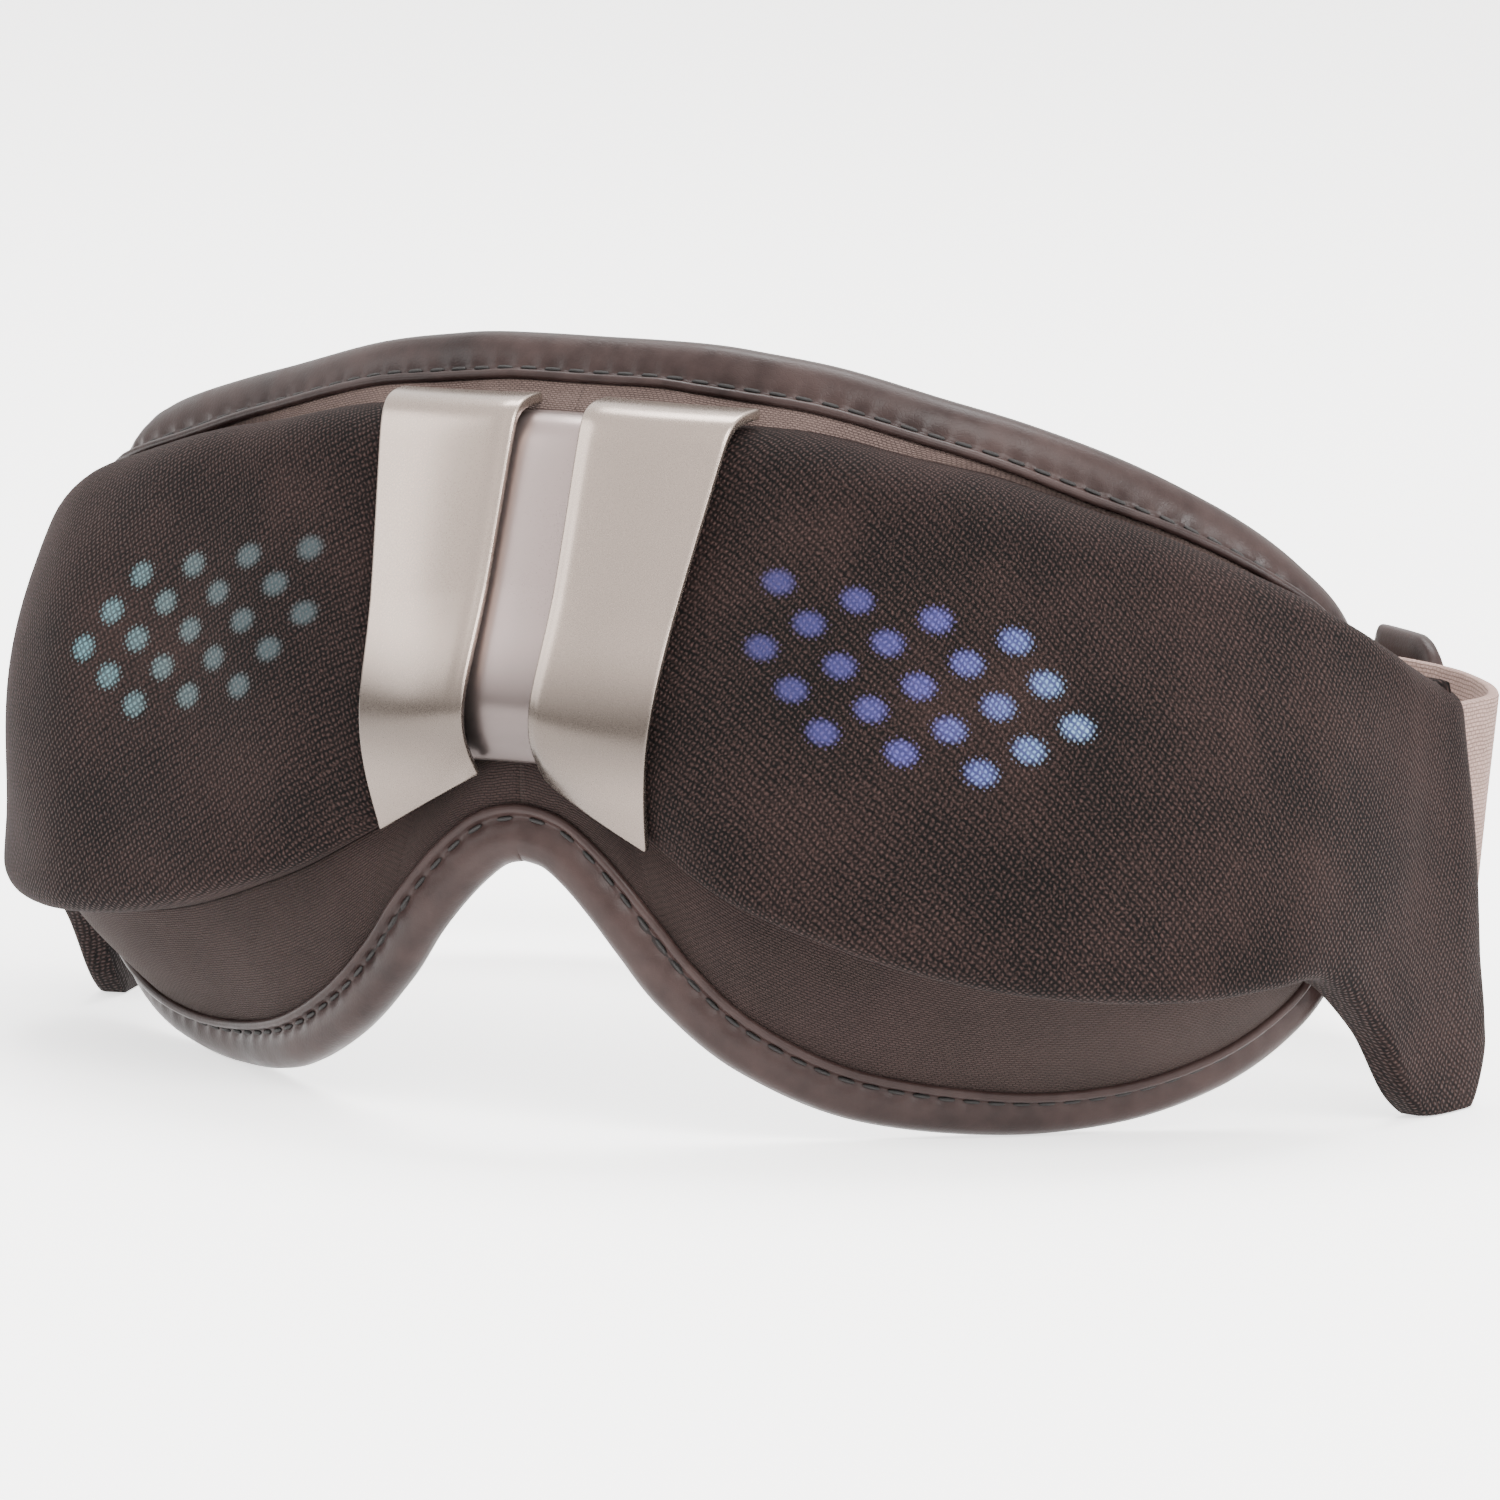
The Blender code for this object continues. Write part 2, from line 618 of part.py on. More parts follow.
def make_hinge_arm(tag, side):
    """Hinge barrel on its pin, with the flange that is screwed to the pod's shell."""
    middle = (BARREL_BOTTOM + BARREL_TOP) / 2
    height = BARREL_TOP - BARREL_BOTTOM
    arm = disc_part("hinge_arm_" + tag, "housing_plastic", (HINGE_X, HINGE_Y, middle), BARREL_RADIUS,
                    height, None, side, 16)
    flange = box_part("flange_" + tag, "housing_plastic", (16.3, HINGE_Y + 1.0, middle), (11.8, 2.0, height - 1),
                      basis_from((0.98, 0.2, 0.0), (0, 0, 1)), side)
    combine(arm, flange, "UNION")
    bore = disc_part("arm_bore_" + tag, "steel", (HINGE_X, HINGE_Y, middle), PIN_RADIUS + 0.1, 30.0,
                     None, side, 12)
    combine(arm, bore, "DIFFERENCE")
    parts = [arm]
    for k, height in enumerate((middle - 2.4, middle + 2.4)):
        spot = (18.6, HINGE_Y + 1.45, height)
        facing = basis_from((0.98, 0.2, 0.0), (0, 0, 1)) @ Matrix.Rotation(math.radians(90), 3, "X")
        hole = disc_part(f"screw_hole_{tag}_{k}", "steel", spot, 1.2, 8.0, facing, side, 10)
        combine(arm, hole, "DIFFERENCE")
        screw_name = f"hinge_screw_{tag}_{k + 1}"
        profile = ((0, -1.0), (0.9, -1.0), (0.9, 1.3), (1.8, 1.3), (1.8, 2.0), (0, 2.2))
        screw = turned_part(screw_name, "steel", profile[::-1], spot,
                            basis_from((0.98, 0.2, 0.0), (0, 0, 1)) @ Matrix.Rotation(math.radians(-90), 3, "X"),
                            side, 8)
        parts.append(screw)
    return parts


def make_band():
    """Champagne band that lies a step back between the two plates."""
    profile = smooth_line(BAND_LINE, 17)
    grid = []
    for k in range(-2, 3):
        x = BAND_HALF_WIDTH * k / 2
        fall = 0.5 * (k / 2) ** 2
        line = [Vector((x, y + fall, z - 0.5 * fall)) for y, z in profile]
        grid.append(line)
    return sheet_part("bridge_band", "band_champagne", grid, 1, PLATE)


def make_spine():
    """Spine of the bridge: a leaning bar with two cross lugs that hold both hinge pins."""
    spine = box_part("hinge_spine", "housing_plastic", (0.0, 8.2, 63.0), (9.0, 3.8, 22.0),
                     Matrix.Rotation(math.radians(-16.0), 3, "X"))
    for k, bottom in enumerate((BARREL_BOTTOM - GAP - LUG, BARREL_TOP + GAP)):
        lug = box_part(f"cross_lug_{k}", "housing_plastic", (0.0, HINGE_Y + 0.4, bottom + LUG / 2),
                       (2 * (HINGE_X + BARREL_RADIUS), 5.2, LUG))
        combine(spine, lug, "UNION")
    pins = []
    for tag, side in (("left", 1), ("right", -1)):
        hole = disc_part("lug_bore_" + tag, "steel", (HINGE_X, HINGE_Y, 63.0), PIN_RADIUS + 0.1, 40.0,
                         None, side, 16)
        combine(spine, hole, "DIFFERENCE")
        profile = ((0, PIN_TOP + 0.9), (1.5, PIN_TOP + 0.7), (1.5, PIN_TOP), (PIN_RADIUS, PIN_TOP),
                   (PIN_RADIUS, PIN_BOTTOM), (0, PIN_BOTTOM))
        pins.append(turned_part("hinge_pin_" + tag, "steel", profile, (HINGE_X, HINGE_Y, 0.0), None, side))
    return [spine] + pins


# Section of the nose saddle at the middle of the bridge: y and z, over the top and down the face.
SADDLE_SECTION = (
    (19.4, 86.6), (20.4, 89.4), (21.6, 92.2), (24.0, 93.6), (26.2, 92.0), (26.2, 88.6), (23.9, 81.0),
    (21.2, 72.5), (18.2, 63.0), (14.6, 53.0), (10.6, 43.0), (7.4, 35.6), (4.9, 32.5), (2.4, 33.4),
    (1.4, 36.6), (1.6, 40.6),
)


def make_saddle():
    """Soft saddle over the nose: it closes the cushion across the bridge and arches at its foot."""
    grid = []
    for k in range(-3, 4):
        w = abs(k) / 3
        stretch = 1.0 + 0.333 * w ** 1.5
        line = []
        for y, z in SADDLE_SECTION:
            foot = 60.0 - (60.0 - z) * stretch if z < 60.0 else z - 0.6 * w
            line.append(Vector((SADDLE_HALF_WIDTH * k / 3, y, foot)))
        grid.append(line)
    return sheet_part("nose_saddle", "lining", grid, 1, 2.0, True)


def make_flex_cable():
    """Flat cable that joins the electronics of the two halves under the spine."""
    grid = []
    for k in range(-6, 7):
        y = 6.3 + 0.5 * math.cos(math.pi * k / 3)
        grid.append([Vector((14.0 * k / 6, y, 50.4)), Vector((14.0 * k / 6, y, 46.4))])
    return sheet_part("flex_cable", "heater_film", grid, 1, 0.3)


def make_air_works(tag, side):
    """Air pump, release valve, hose and speaker of one half."""
    upright = basis_from((0.74, 0.67, 0.0), (-0.10, 0.16, 0.98))
    pump = disc_part("air_pump_" + tag, "pump_metal", (73.1, 32.5, 41.0), 3.9, 17.0, upright, side, 16)
    valve = box_part("air_valve_" + tag, "housing_plastic", (57.0, 18.4, 32.5), (9.0, 6.4, 8.0),
                     LED_BASIS, side, 0.5)
    hose = roll_part("air_hose_" + tag, "silicone", smooth_line(HOSE_ROUTE, 9), 1.1, side)
    facing = upright @ Matrix.Rotation(math.radians(90), 3, "X")
    speaker = disc_part("speaker_" + tag, "housing_plastic", (71.6, 32.2, 25.8), 4.8, 3.0, facing, side, 16)
    return [pump, valve, hose, speaker]


HOSE_ROUTE = ((72.6, 34.9, 50.2), (72.3, 35.2, 52.6), (71.4, 35.3, 55.0), (70.1, 35.6, 56.8), (69.2, 36.4, 57.4))


def outline_part(name, slot, centre, size, basis, side):
    """A plate with fully rounded ends: size is its length along the third direction, width and depth."""
    length, width, depth = size
    radius = width / 2
    straight = (length - width) / 2
    shape = bmesh.new()
    corners = []
    for middle, start in ((straight, 0.0), (-straight, math.pi)):
        for k in range(9):
            angle = start + math.pi * k / 8
            spot = Vector((radius * math.cos(angle), -depth / 2, middle + radius * math.sin(angle)))
            corners.append(shape.verts.new(spot * MM))
    face = shape.faces.new(corners)
    swept = bmesh.ops.extrude_face_region(shape, geom=[face])
    moved = [item for item in swept["geom"] if isinstance(item, bmesh.types.BMVert)]
    bmesh.ops.translate(shape, vec=Vector((0.0, depth, 0.0)) * MM, verts=moved)
    bmesh.ops.recalc_face_normals(shape, faces=shape.faces)
    mesh = bpy.data.meshes.new(name)
    shape.to_mesh(mesh)
    shape.free()
    part = add_object(name, mesh, slot)
    part.matrix_world = placed_basis(centre, basis, side)
    return part


BUTTON_SPOT = skin_point(9.15, 0.5)
BUTTON_BASIS = basis_from((0.2, 0.98, 0.0), (-0.07, 0.0, 1.0))


def button_place(across, depth, up):
    """A point given in the button panel's own directions, from the skin inwards."""
    return BUTTON_SPOT + BUTTON_BASIS @ Vector((across, depth, up))


def make_controls(cover, arm):
    """Bezel, buttons, charging port and their board, set into the right wing."""
    side = -1
    length, width, depth = BEZEL
    middle = depth / 2 - BEZEL_PROUD
    facing = BUTTON_BASIS @ Matrix.Rotation(math.radians(90), 3, "X")
    bezel = outline_part("control_bezel", "button_plastic", button_place(0, middle, 0), BEZEL, BUTTON_BASIS, side)
    for part in (cover, arm):
        cut = outline_part("cut_" + part.name, "button_plastic", button_place(0, 1.0, 0),
                           (length + 2 * GAP, width + 2 * GAP, 12.0), BUTTON_BASIS, side)
        combine(part, cut, "DIFFERENCE")
    buttons = []
    for name, height in BUTTON_HEIGHTS.items():
        hole = disc_part("hole_" + name, "steel", button_place(0, 0, height), BUTTON_RADIUS + BUTTON_CLEARANCE,
                         20.0, facing, side, 20)
        combine(bezel, hole, "DIFFERENCE")
        buttons.append(disc_part(name, "button_plastic", button_place(0, 0.0, height), BUTTON_RADIUS, 2.6,
                                 facing, side, 20))
    slot = outline_part("hole_port", "steel", button_place(0, 0, PORT_HEIGHT), (9.6, 3.8, 20.0), BUTTON_BASIS, side)
    combine(bezel, slot, "DIFFERENCE")
    port = outline_part("charging_port", "steel", button_place(0, 1.7, PORT_HEIGHT), (9.0, 3.2, 4.0),
                        BUTTON_BASIS, side)
    mouth = outline_part("port_mouth", "steel", button_place(0, 0.0, PORT_HEIGHT), (8.2, 2.4, 6.4),
                         BUTTON_BASIS, side)
    combine(port, mouth, "DIFFERENCE")
    board = box_part("button_board", "circuit_board", button_place(0, 4.8, 0), (8.0, 0.8, 32.0), BUTTON_BASIS, side)
    return [bezel, port, board], buttons


def make_power():
    """Battery in the left half and main board in the right half, behind the lamps."""
    battery = box_part("battery", "battery_wrap", led_place(7.0, 10.2, -4.0), (16.0, 2.8, 16.0), LED_BASIS, 1, 0.5)
    board = box_part("main_board", "circuit_board", led_place(5.0, 9.5, -2.0), (22.0, 1.2, 16.0), LED_BASIS, -1)
    return battery, board


def make_hook_patch():
    """Hook tape on the inner face of the right strap's end, which grips the left strap."""
    line = smooth_line(STRAP_RIGHT_PLAN, 2 * len(STRAP_RIGHT_PLAN))[-6:]
    grid = []
    for i, (x, y) in enumerate(line[1:]):
        before = line[i]
        run = Vector((x - before[0], y - before[1], 0.0)).normalized()
        spot = Vector((x, y, 0.0)) + Vector((-run.y, run.x, 0.0)) * (STRAP + 0.35)
        low = Vector((-strap_lean(x, y), 0.0, STRAP_BOTTOM))
        high = Vector((0.0, 0.0, STRAP_TOP))
        grid.append([spot + high.lerp(low, 0.1), spot + high.lerp(low, 0.9)])
    return sheet_part("hook_patch", "hook_tape", grid, -1, 0.6)


def hinge_empty(name, side):
    """An empty on a fold axis, which a half of the mask is parented to."""
    empty = bpy.data.objects.new(name, None)
    empty.location = place((HINGE_X * side, HINGE_Y, (BARREL_BOTTOM + BARREL_TOP) / 2))
    PARTS.objects.link(empty)
    return empty


def build():
    """Makes every sub-part and parents each half to the empty on its fold axis."""
    make_band()
    make_spine()
    make_saddle()
    make_flex_cable()
    battery, main_board = make_power()
    extras = {"left": [battery], "right": [main_board, make_hook_patch()]}
    for tag, side in (("left", 1), ("right", -1)):
        cover = make_cover(tag, side)
        arm, pad, bar = make_wing(tag, side)
        pieces = [cover, arm, pad, bar, make_front_shell(tag, side), make_plate(tag, side), make_tray(tag, side)]
        pieces += make_light(tag, side)
        pieces += make_cushion(tag, side)
        pieces += make_face_layers(tag, side)
        pieces += make_hinge_arm(tag, side)
        pieces += make_air_works(tag, side)
        pieces.append(make_strap(tag, STRAP_LEFT_PLAN if side > 0 else STRAP_RIGHT_PLAN, side))
        if side < 0:
            fixed, buttons = make_controls(cover, arm)
            pieces += fixed + buttons
        fold = hinge_empty("fold_axis_" + tag, side)
        for piece in pieces + extras[tag]:
            ride_with(piece, fold)


build()
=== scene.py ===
"""Looks of the folding eye massager mask: knitted pods, champagne bridge, leather rim, lamps and strap."""
import json
import math

import bmesh
import bpy
import numpy as np
from mathutils import Matrix, Vector


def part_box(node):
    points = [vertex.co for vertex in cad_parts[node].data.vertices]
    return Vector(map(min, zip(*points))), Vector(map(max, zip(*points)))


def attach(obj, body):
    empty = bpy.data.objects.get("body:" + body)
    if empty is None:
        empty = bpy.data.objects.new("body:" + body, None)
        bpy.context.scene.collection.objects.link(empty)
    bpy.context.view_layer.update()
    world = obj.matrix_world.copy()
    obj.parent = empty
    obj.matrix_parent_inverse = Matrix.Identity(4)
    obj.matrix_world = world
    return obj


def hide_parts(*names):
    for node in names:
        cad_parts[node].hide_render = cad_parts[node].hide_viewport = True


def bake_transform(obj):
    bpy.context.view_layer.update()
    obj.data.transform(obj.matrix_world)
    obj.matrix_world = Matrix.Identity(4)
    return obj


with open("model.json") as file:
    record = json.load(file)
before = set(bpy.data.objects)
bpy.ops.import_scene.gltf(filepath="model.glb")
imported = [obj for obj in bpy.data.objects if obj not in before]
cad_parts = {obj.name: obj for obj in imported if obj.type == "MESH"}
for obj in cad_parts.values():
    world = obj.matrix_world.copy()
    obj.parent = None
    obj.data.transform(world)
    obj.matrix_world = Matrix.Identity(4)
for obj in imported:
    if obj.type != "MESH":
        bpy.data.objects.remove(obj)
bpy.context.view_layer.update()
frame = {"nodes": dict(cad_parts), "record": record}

MM = 0.001
CENTRE_Y = 63.22
FABRIC = 1.2

# The pod's outer skin, station by station from the bridge to the rear of the wing, as in the CAD:
# top corner x y z, bottom corner x y z, forward bulge, bulge skew, top return, bottom return.
STATIONS = np.array((
    (12.5, 10.6, 84.9, 12.0, 3.0, 41.0, 3.2, 2.1, 6.2, 0.8),
    (20.0, 11.8, 84.8, 18.0, 2.0, 36.2, 4.9, 2.1, 7.0, 1.6),
    (31.0, 13.0, 84.1, 28.0, -0.6, 30.6, 3.4, 1.8, 8.2, 4.5),
    (42.8, 16.0, 81.7, 41.0, 0.6, 25.8, 1.9, 1.1, 8.6, 7.0),
    (53.5, 21.0, 79.4, 55.0, 5.6, 21.7, 2.2, 1.0, 9.0, 8.0),
    (63.0, 28.5, 75.7, 68.0, 12.4, 19.6, 4.0, 1.0, 8.0, 8.0),
    (72.5, 36.5, 71.4, 79.0, 23.0, 18.8, 4.4, 1.0, 6.4, 7.0),
    (81.0, 47.5, 65.5, 86.0, 32.5, 19.6, 3.0, 1.0, 4.2, 6.5),
    (85.8, 55.5, 60.9, 89.0, 42.0, 19.5, 1.8, 1.0, 3.8, 5.6),
    (88.7, 61.6, 57.4, 90.6, 53.0, 12.0, 1.2, 1.0, 4.6, 4.8),
    (90.3, 66.0, 55.2, 91.6, 61.0, 2.5, 0.8, 1.0, 6.6, 4.2),
    (91.4, 69.3, 53.4, 92.9, 67.5, -1.2, 0.5, 1.0, 6.8, 4.0),
    (92.0, 71.8, 52.2, 94.0, 74.0, -1.2, 0.5, 1.0, 6.0, 3.8),
    (91.9, 73.4, 51.4, 94.1, 78.2, 5.5, 0.4, 1.0, 4.2, 3.0),
    (90.9, 74.4, 50.9, 92.6, 80.2, 10.0, 0.3, 1.0, 2.4, 2.4),
))
LAST = len(STATIONS) - 1

# Centre line of the leather rim: top and bottom points of each column, and the outer end.
COLUMNS = np.array((
    (14.5, 24.3, 90.9, 14.2, 5.2, 23.8), (20.0, 25.0, 90.3, 18.8, 6.9, 17.8),
    (30.0, 26.8, 88.7, 26.5, 10.6, 10.8), (41.0, 30.0, 85.6, 37.5, 17.8, 5.0),
    (51.0, 34.5, 82.4, 51.0, 29.0, 2.6), (61.0, 41.0, 77.8, 62.5, 37.8, 3.7),
    (70.0, 48.5, 71.8, 71.5, 45.0, 7.4), (76.0, 55.0, 65.6, 77.5, 50.8, 12.6),
    (79.8, 60.0, 59.0, 80.8, 55.0, 18.6),
))
RIM_SIDE = ((81.4, 61.6, 50.0), (81.9, 60.8, 39.0), (82.0, 58.6, 28.0))
RIM_TOP_START = ((0.0, 23.9, 91.1), (7.5, 24.0, 91.1))
RIM_NOSE = ((10.6, 4.7, 28.2), (7.0, 4.5, 31.9), (3.6, 4.4, 34.4), (0.0, 4.4, 35.3))

PLATE_INNER = (
    (4.3, 16.0, 87.5), (4.3, 12.0, 87.5), (4.3, 9.4, 86.6), (4.3, 8.1, 84.4), (4.4, 0.5, 63.5),
    (4.4, -4.6, 54.6), (4.3, -6.0, 51.0), (4.2, -4.4, 47.0), (4.2, 0.0, 43.2),
)
PLATE_OUTER = (
    (23.9, 18.0, 87.0), (23.7, 14.2, 86.9), (23.3, 11.6, 85.9), (23.0, 10.0, 83.4), (19.9, 1.3, 61.0),
    (19.5, -2.2, 52.4), (19.2, -3.2, 48.4), (18.7, -2.4, 42.8), (17.7, 0.4, 35.4),
)
PLATE = 1.4
BAND_LINE = (
    (15.0, 85.6), (12.7, 85.5), (11.0, 84.3), (9.6, 82.0), (2.4, 62.7), (-2.5, 53.6), (-3.8, 51.0),
    (-2.7, 48.6), (1.6, 44.8),
)
BAND_HALF_WIDTH = 7.4
FULL_FOOT = 1.6
FULL_SHOULDER = 5.0

STRAP_LEFT = (
    (87.9, 69.6), (88.8, 75.0), (89.9, 80.5), (90.9, 87.0), (89.0, 93.0), (84.2, 100.6), (76.0, 109.0),
    (63.0, 116.0), (44.0, 120.4), (22.0, 122.4), (0.0, 122.8), (-24.0, 121.4),
)
STRAP_RIGHT = (
    (87.9, 69.6), (88.8, 75.0), (89.9, 80.5), (90.9, 87.0), (89.0, 93.0), (84.2, 101.4), (77.0, 111.4),
    (64.0, 121.6), (44.0, 126.8), (22.0, 128.6), (0.0, 129.6), (-22.0, 131.6), (-40.0, 132.4),
    (-54.0, 129.0), (-65.0, 121.4), (-72.5, 114.4),
)
STRAP = 1.5
STRAP_LEAN = 3.0
STRAP_BOTTOM = 18.6
STRAP_TOP = 48.6
STRAP_BLEND = (10.0, 86.0)

SADDLE = (
    (24.0, 91.5), (26.0, 89.2), (23.9, 81.0), (21.2, 72.5), (18.2, 63.0), (14.6, 53.0), (10.6, 43.0),
    (6.6, 36.2),
)

LAMP_CENTRE = np.array((48.4, 10.4, 56.3))
LAMP_PITCH = 9.6
LAMP_ROW = 4.05
LAMP_RADIUS = 2.05
STITCH = 3.2

# The bezel's opening in the right cover: height, width and half its depth, and the way a button is pressed.
BEZEL_HEIGHT = 35.7
BEZEL_WIDTH = 11.7
BEZEL_REACH = 8.0
PRESS = (0.97751, 0.19949, -0.06843)

# Heights above the floor, in metres, between which the painted dark band of the bridge fades in and out.
SHADE_IN = (0.050, 0.061)
SHADE_OUT = (0.041, 0.049)

# Camera: azimuth, elevation and roll in degrees, the point it looks at, its distance, and its lens in mm.
CAMERA_ANGLES = (25.5, 8.5, 0.6)
CAMERA_TARGET = (0.0, 0.00278, 0.038)
CAMERA_DISTANCE = 1.3
CAMERA_LENS = 250.8

# Soft boxes: name, place, target, size, power and tint.
LIGHTS = (
    ("key", (0.9, -0.9, 1.3), (0, 0, 0.05), (0.9, 0.9), 40.0, (1.0, 0.97, 0.95)),
    ("fill", (-1.2, -0.7, 0.8), (0, 0, 0.04), (0.8, 0.8), 10.0, (1, 1, 1)),
    ("top", (0.0, 0.5, 1.4), (0, 0, 0.05), (1.2, 0.6), 34.0, (1, 1, 1)),
    ("side", (1.4, -0.1, 0.5), (0.06, 0, 0.04), (0.5, 0.5), 22.0, (1, 1, 1)),
)
FLOOR_REACH = 40.0
FLOOR_DROP = 0.0002
FLOOR_GLOW = 1.6
WORLD_STRENGTH = 2.4

SWELL_SCALE = 10.0
SWELL_STEPS = 18
SWELL_CAP = 3.2


# ---------------------------------------------------------------- shapes

def unit(v):
    """Vectors of length one."""
    return v / np.maximum(np.linalg.norm(v, axis=-1, keepdims=True), 1e-9)


def rows_at(table, u):
    """Rows of a table at fractional indices, on a smooth curve through them."""
    table = np.asarray(table, float)
    u = np.asarray(u, float)
    last = len(table) - 1
    i = np.minimum(u.astype(int), last - 1)
    t = (u - i)[..., None]
    a, b, c, d = (table[np.clip(i + k, 0, last)] for k in (-1, 0, 1, 2))
    m, n = 0.5 * (c - a), 0.5 * (d - b)
    return (((2 * (b - c) + m + n) * t + 3 * (c - b) - 2 * m - n) * t + m) * t + b


def even_line(table, step):
    """Points a steady distance apart on a smooth curve, and the distance run at each."""
    dense = rows_at(table, np.linspace(0, len(table) - 1, 40 * len(table)))
    run = np.concatenate(([0.0], np.cumsum(np.linalg.norm(np.diff(dense, axis=0), axis=1))))
    count = max(3, int(run[-1] / step) + 1)
    goal = np.linspace(0, run[-1], count)
    return np.stack([np.interp(goal, run, dense[:, k]) for k in range(dense.shape[1])], 1), goal


def softened(points, passes):
    """A line of points, or a set of them, with its bends eased along the second last axis."""
    points = points.copy()
    for _ in range(passes):
        points[..., 1:-1, :] = 0.5 * points[..., 1:-1, :] + 0.25 * (points[..., :-2, :] + points[..., 2:, :])
    return points


def tangents(points):
    """Unit directions along a line of points."""
    return unit(np.gradient(points, axis=0))


def inward(u):
    """Level direction from the skin into the mask."""
    before = rows_at(STATIONS, np.maximum(0.0, u - 0.25))
    after = rows_at(STATIONS, np.minimum(LAST, u + 0.25))
    run = after[..., 0:2] + after[..., 3:5] - before[..., 0:2] - before[..., 3:5]
    return unit(np.stack((-run[..., 1], run[..., 0], 0 * run[..., 0]), -1))


def bend_points(a, b, c, steps):
    """Points of a rounded corner a-b-c, with its end and without its start."""
    t = (np.arange(1, steps + 1) / steps)[None, :, None]
    return a[:, None] * (1 - t) ** 2 + b[:, None] * 2 * t * (1 - t) + c[:, None] * t * t


def skin(u, front_steps=64):
    """The pod's skin at stations u: from its top return, over the front, to its bottom return."""
    row = rows_at(STATIONS, u)
    top, bottom = row[:, 0:3], row[:, 3:6]
    into = inward(u)
    height = np.linalg.norm(bottom - top, axis=1)
    upper = np.minimum(6.0, 0.8 * row[:, 8])
    lower = np.minimum(4.0, 0.5 * row[:, 9])

    def front(v):
        bulge = row[:, 6, None] * np.sin(np.pi * np.clip(v, 0, 1) ** row[:, 7, None])
        return top[:, None] + (bottom - top)[:, None] * v[..., None] - into[:, None] * bulge[..., None]

    def back(edge, depth):
        return edge[:, None] + into[:, None] * depth[..., None]

    v0, v1 = upper / height, 1 - lower / height
    v = v0[:, None] + (v1 - v0)[:, None] * np.linspace(0, 1, front_steps)[None]
    face = front(v)
    ramp = np.linspace(0, 1, 8)[None]
    head = back(top, row[:, 8, None] + (upper - row[:, 8])[:, None] * ramp)
    turn = bend_points(head[:, -1], top, face[:, 0], 9)
    foot_turn = bend_points(face[:, -1], bottom, back(bottom, lower[:, None])[:, 0], 8)
    foot = back(bottom, lower[:, None] + (row[:, 9] - lower)[:, None] * ramp[:, 1:])
    points = np.concatenate((head, turn, face[:, 1:], foot_turn, foot), 1)
    points[..., 2] = np.maximum(points[..., 2], 0.0)
    return points


def basis_from(across, up):
    """Rows: a direction across, one into the mask and one close to up."""
    first = unit(np.array(across, float))
    third = np.array(up, float)
    third = unit(third - first * third.dot(first))
    return np.array((first, np.cross(third, first), third))


LAMP_BASIS = basis_from((0.919, 0.325, -0.223), (0.11, 0.32, 0.94))


def smooth_step(x):
    """A smooth rise from 0 to 1."""
    x = np.clip(x, 0, 1)
    return x * x * (3 - 2 * x)


def fullness(points):
    """How far the right pod stands out beyond the left one: most at its upper shoulder."""
    x, y, z = points[..., 0], points[..., 1], points[..., 2]
    reach = FULL_FOOT + FULL_SHOULDER * smooth_step((z - 25.0) / 40.0)
    return reach * smooth_step((x - 45.0) / 25.0) * smooth_step((60.0 - y) / 20.0)


def place(points, side=1):
    """Design millimetres to world metres, mirrored for the right half."""
    out = np.array(points, float)
    if side < 0:
        out[..., 0] += fullness(out)
    out[..., 0] *= side
    out[..., 1] -= CENTRE_Y
    return out * MM


def arc_uv(points):
    """Cloth coordinates in millimetres for a grid of points."""
    across = np.linalg.norm(np.diff(points, axis=1), axis=2)
    v = np.concatenate((np.zeros((points.shape[0], 1)), np.cumsum(across, 1)), 1)
    middle = points[:, points.shape[1] // 2]
    u = np.concatenate(([0.0], np.cumsum(np.linalg.norm(np.diff(middle, axis=0), axis=1))))
    return np.stack((np.repeat(u[:, None], points.shape[1], 1), v), -1)


def make_object(name, vertices, faces, material, uv=None):
    """A smooth-shaded mesh object with cloth coordinates."""
    mesh = bpy.data.meshes.new(name)
    mesh.from_pydata(vertices.tolist(), [], faces.tolist() if hasattr(faces, "tolist") else faces)
    mesh.polygons.foreach_set("use_smooth", np.ones(len(mesh.polygons), bool))
    if uv is not None:
        layer = mesh.uv_layers.new(name="cloth")
        index = np.zeros(len(mesh.loops), np.int32)
        mesh.loops.foreach_get("vertex_index", index)
        layer.data.foreach_set("uv", (uv.reshape(-1, 2)[index] * 0.01).astype(np.float32).ravel())
    mesh.materials.append(material)
    mesh.update()
    thing = bpy.data.objects.new(name, mesh)
    bpy.context.scene.collection.objects.link(thing)
    return thing


def grid_object(name, points, side, material, thickness=0.0, uv=None, flip=False, wrap=False):
    """A sheet through a grid of points, thickened away from its visible face."""
    rows, columns = points.shape[:2]
    uv = arc_uv(points) if uv is None else uv
    i, j = np.meshgrid(np.arange(rows - 1), np.arange(columns if wrap else columns - 1), indexing="ij")
    a, b = i * columns + j, i * columns + (j + 1) % columns
    faces = np.stack((a, b, b + columns, a + columns), -1).reshape(-1, 4)
    if (side < 0) != flip:
        faces = faces[:, ::-1]
    thing = make_object(name, place(points, side).reshape(-1, 3), faces, material, uv)
    if thickness:
        solid = thing.modifiers.new("thickness", "SOLIDIFY")
        solid.thickness = thickness * MM
        solid.offset = -1.0
    return thing


def finalise(thing):
    """Makes the modified mesh the piece's own."""
    graph = bpy.context.evaluated_depsgraph_get()
    shaped = thing.evaluated_get(graph)
    mesh = bpy.data.meshes.new_from_object(shaped, preserve_all_data_layers=True, depsgraph=graph)
    thing.modifiers.clear()
    thing.data = mesh
    return thing


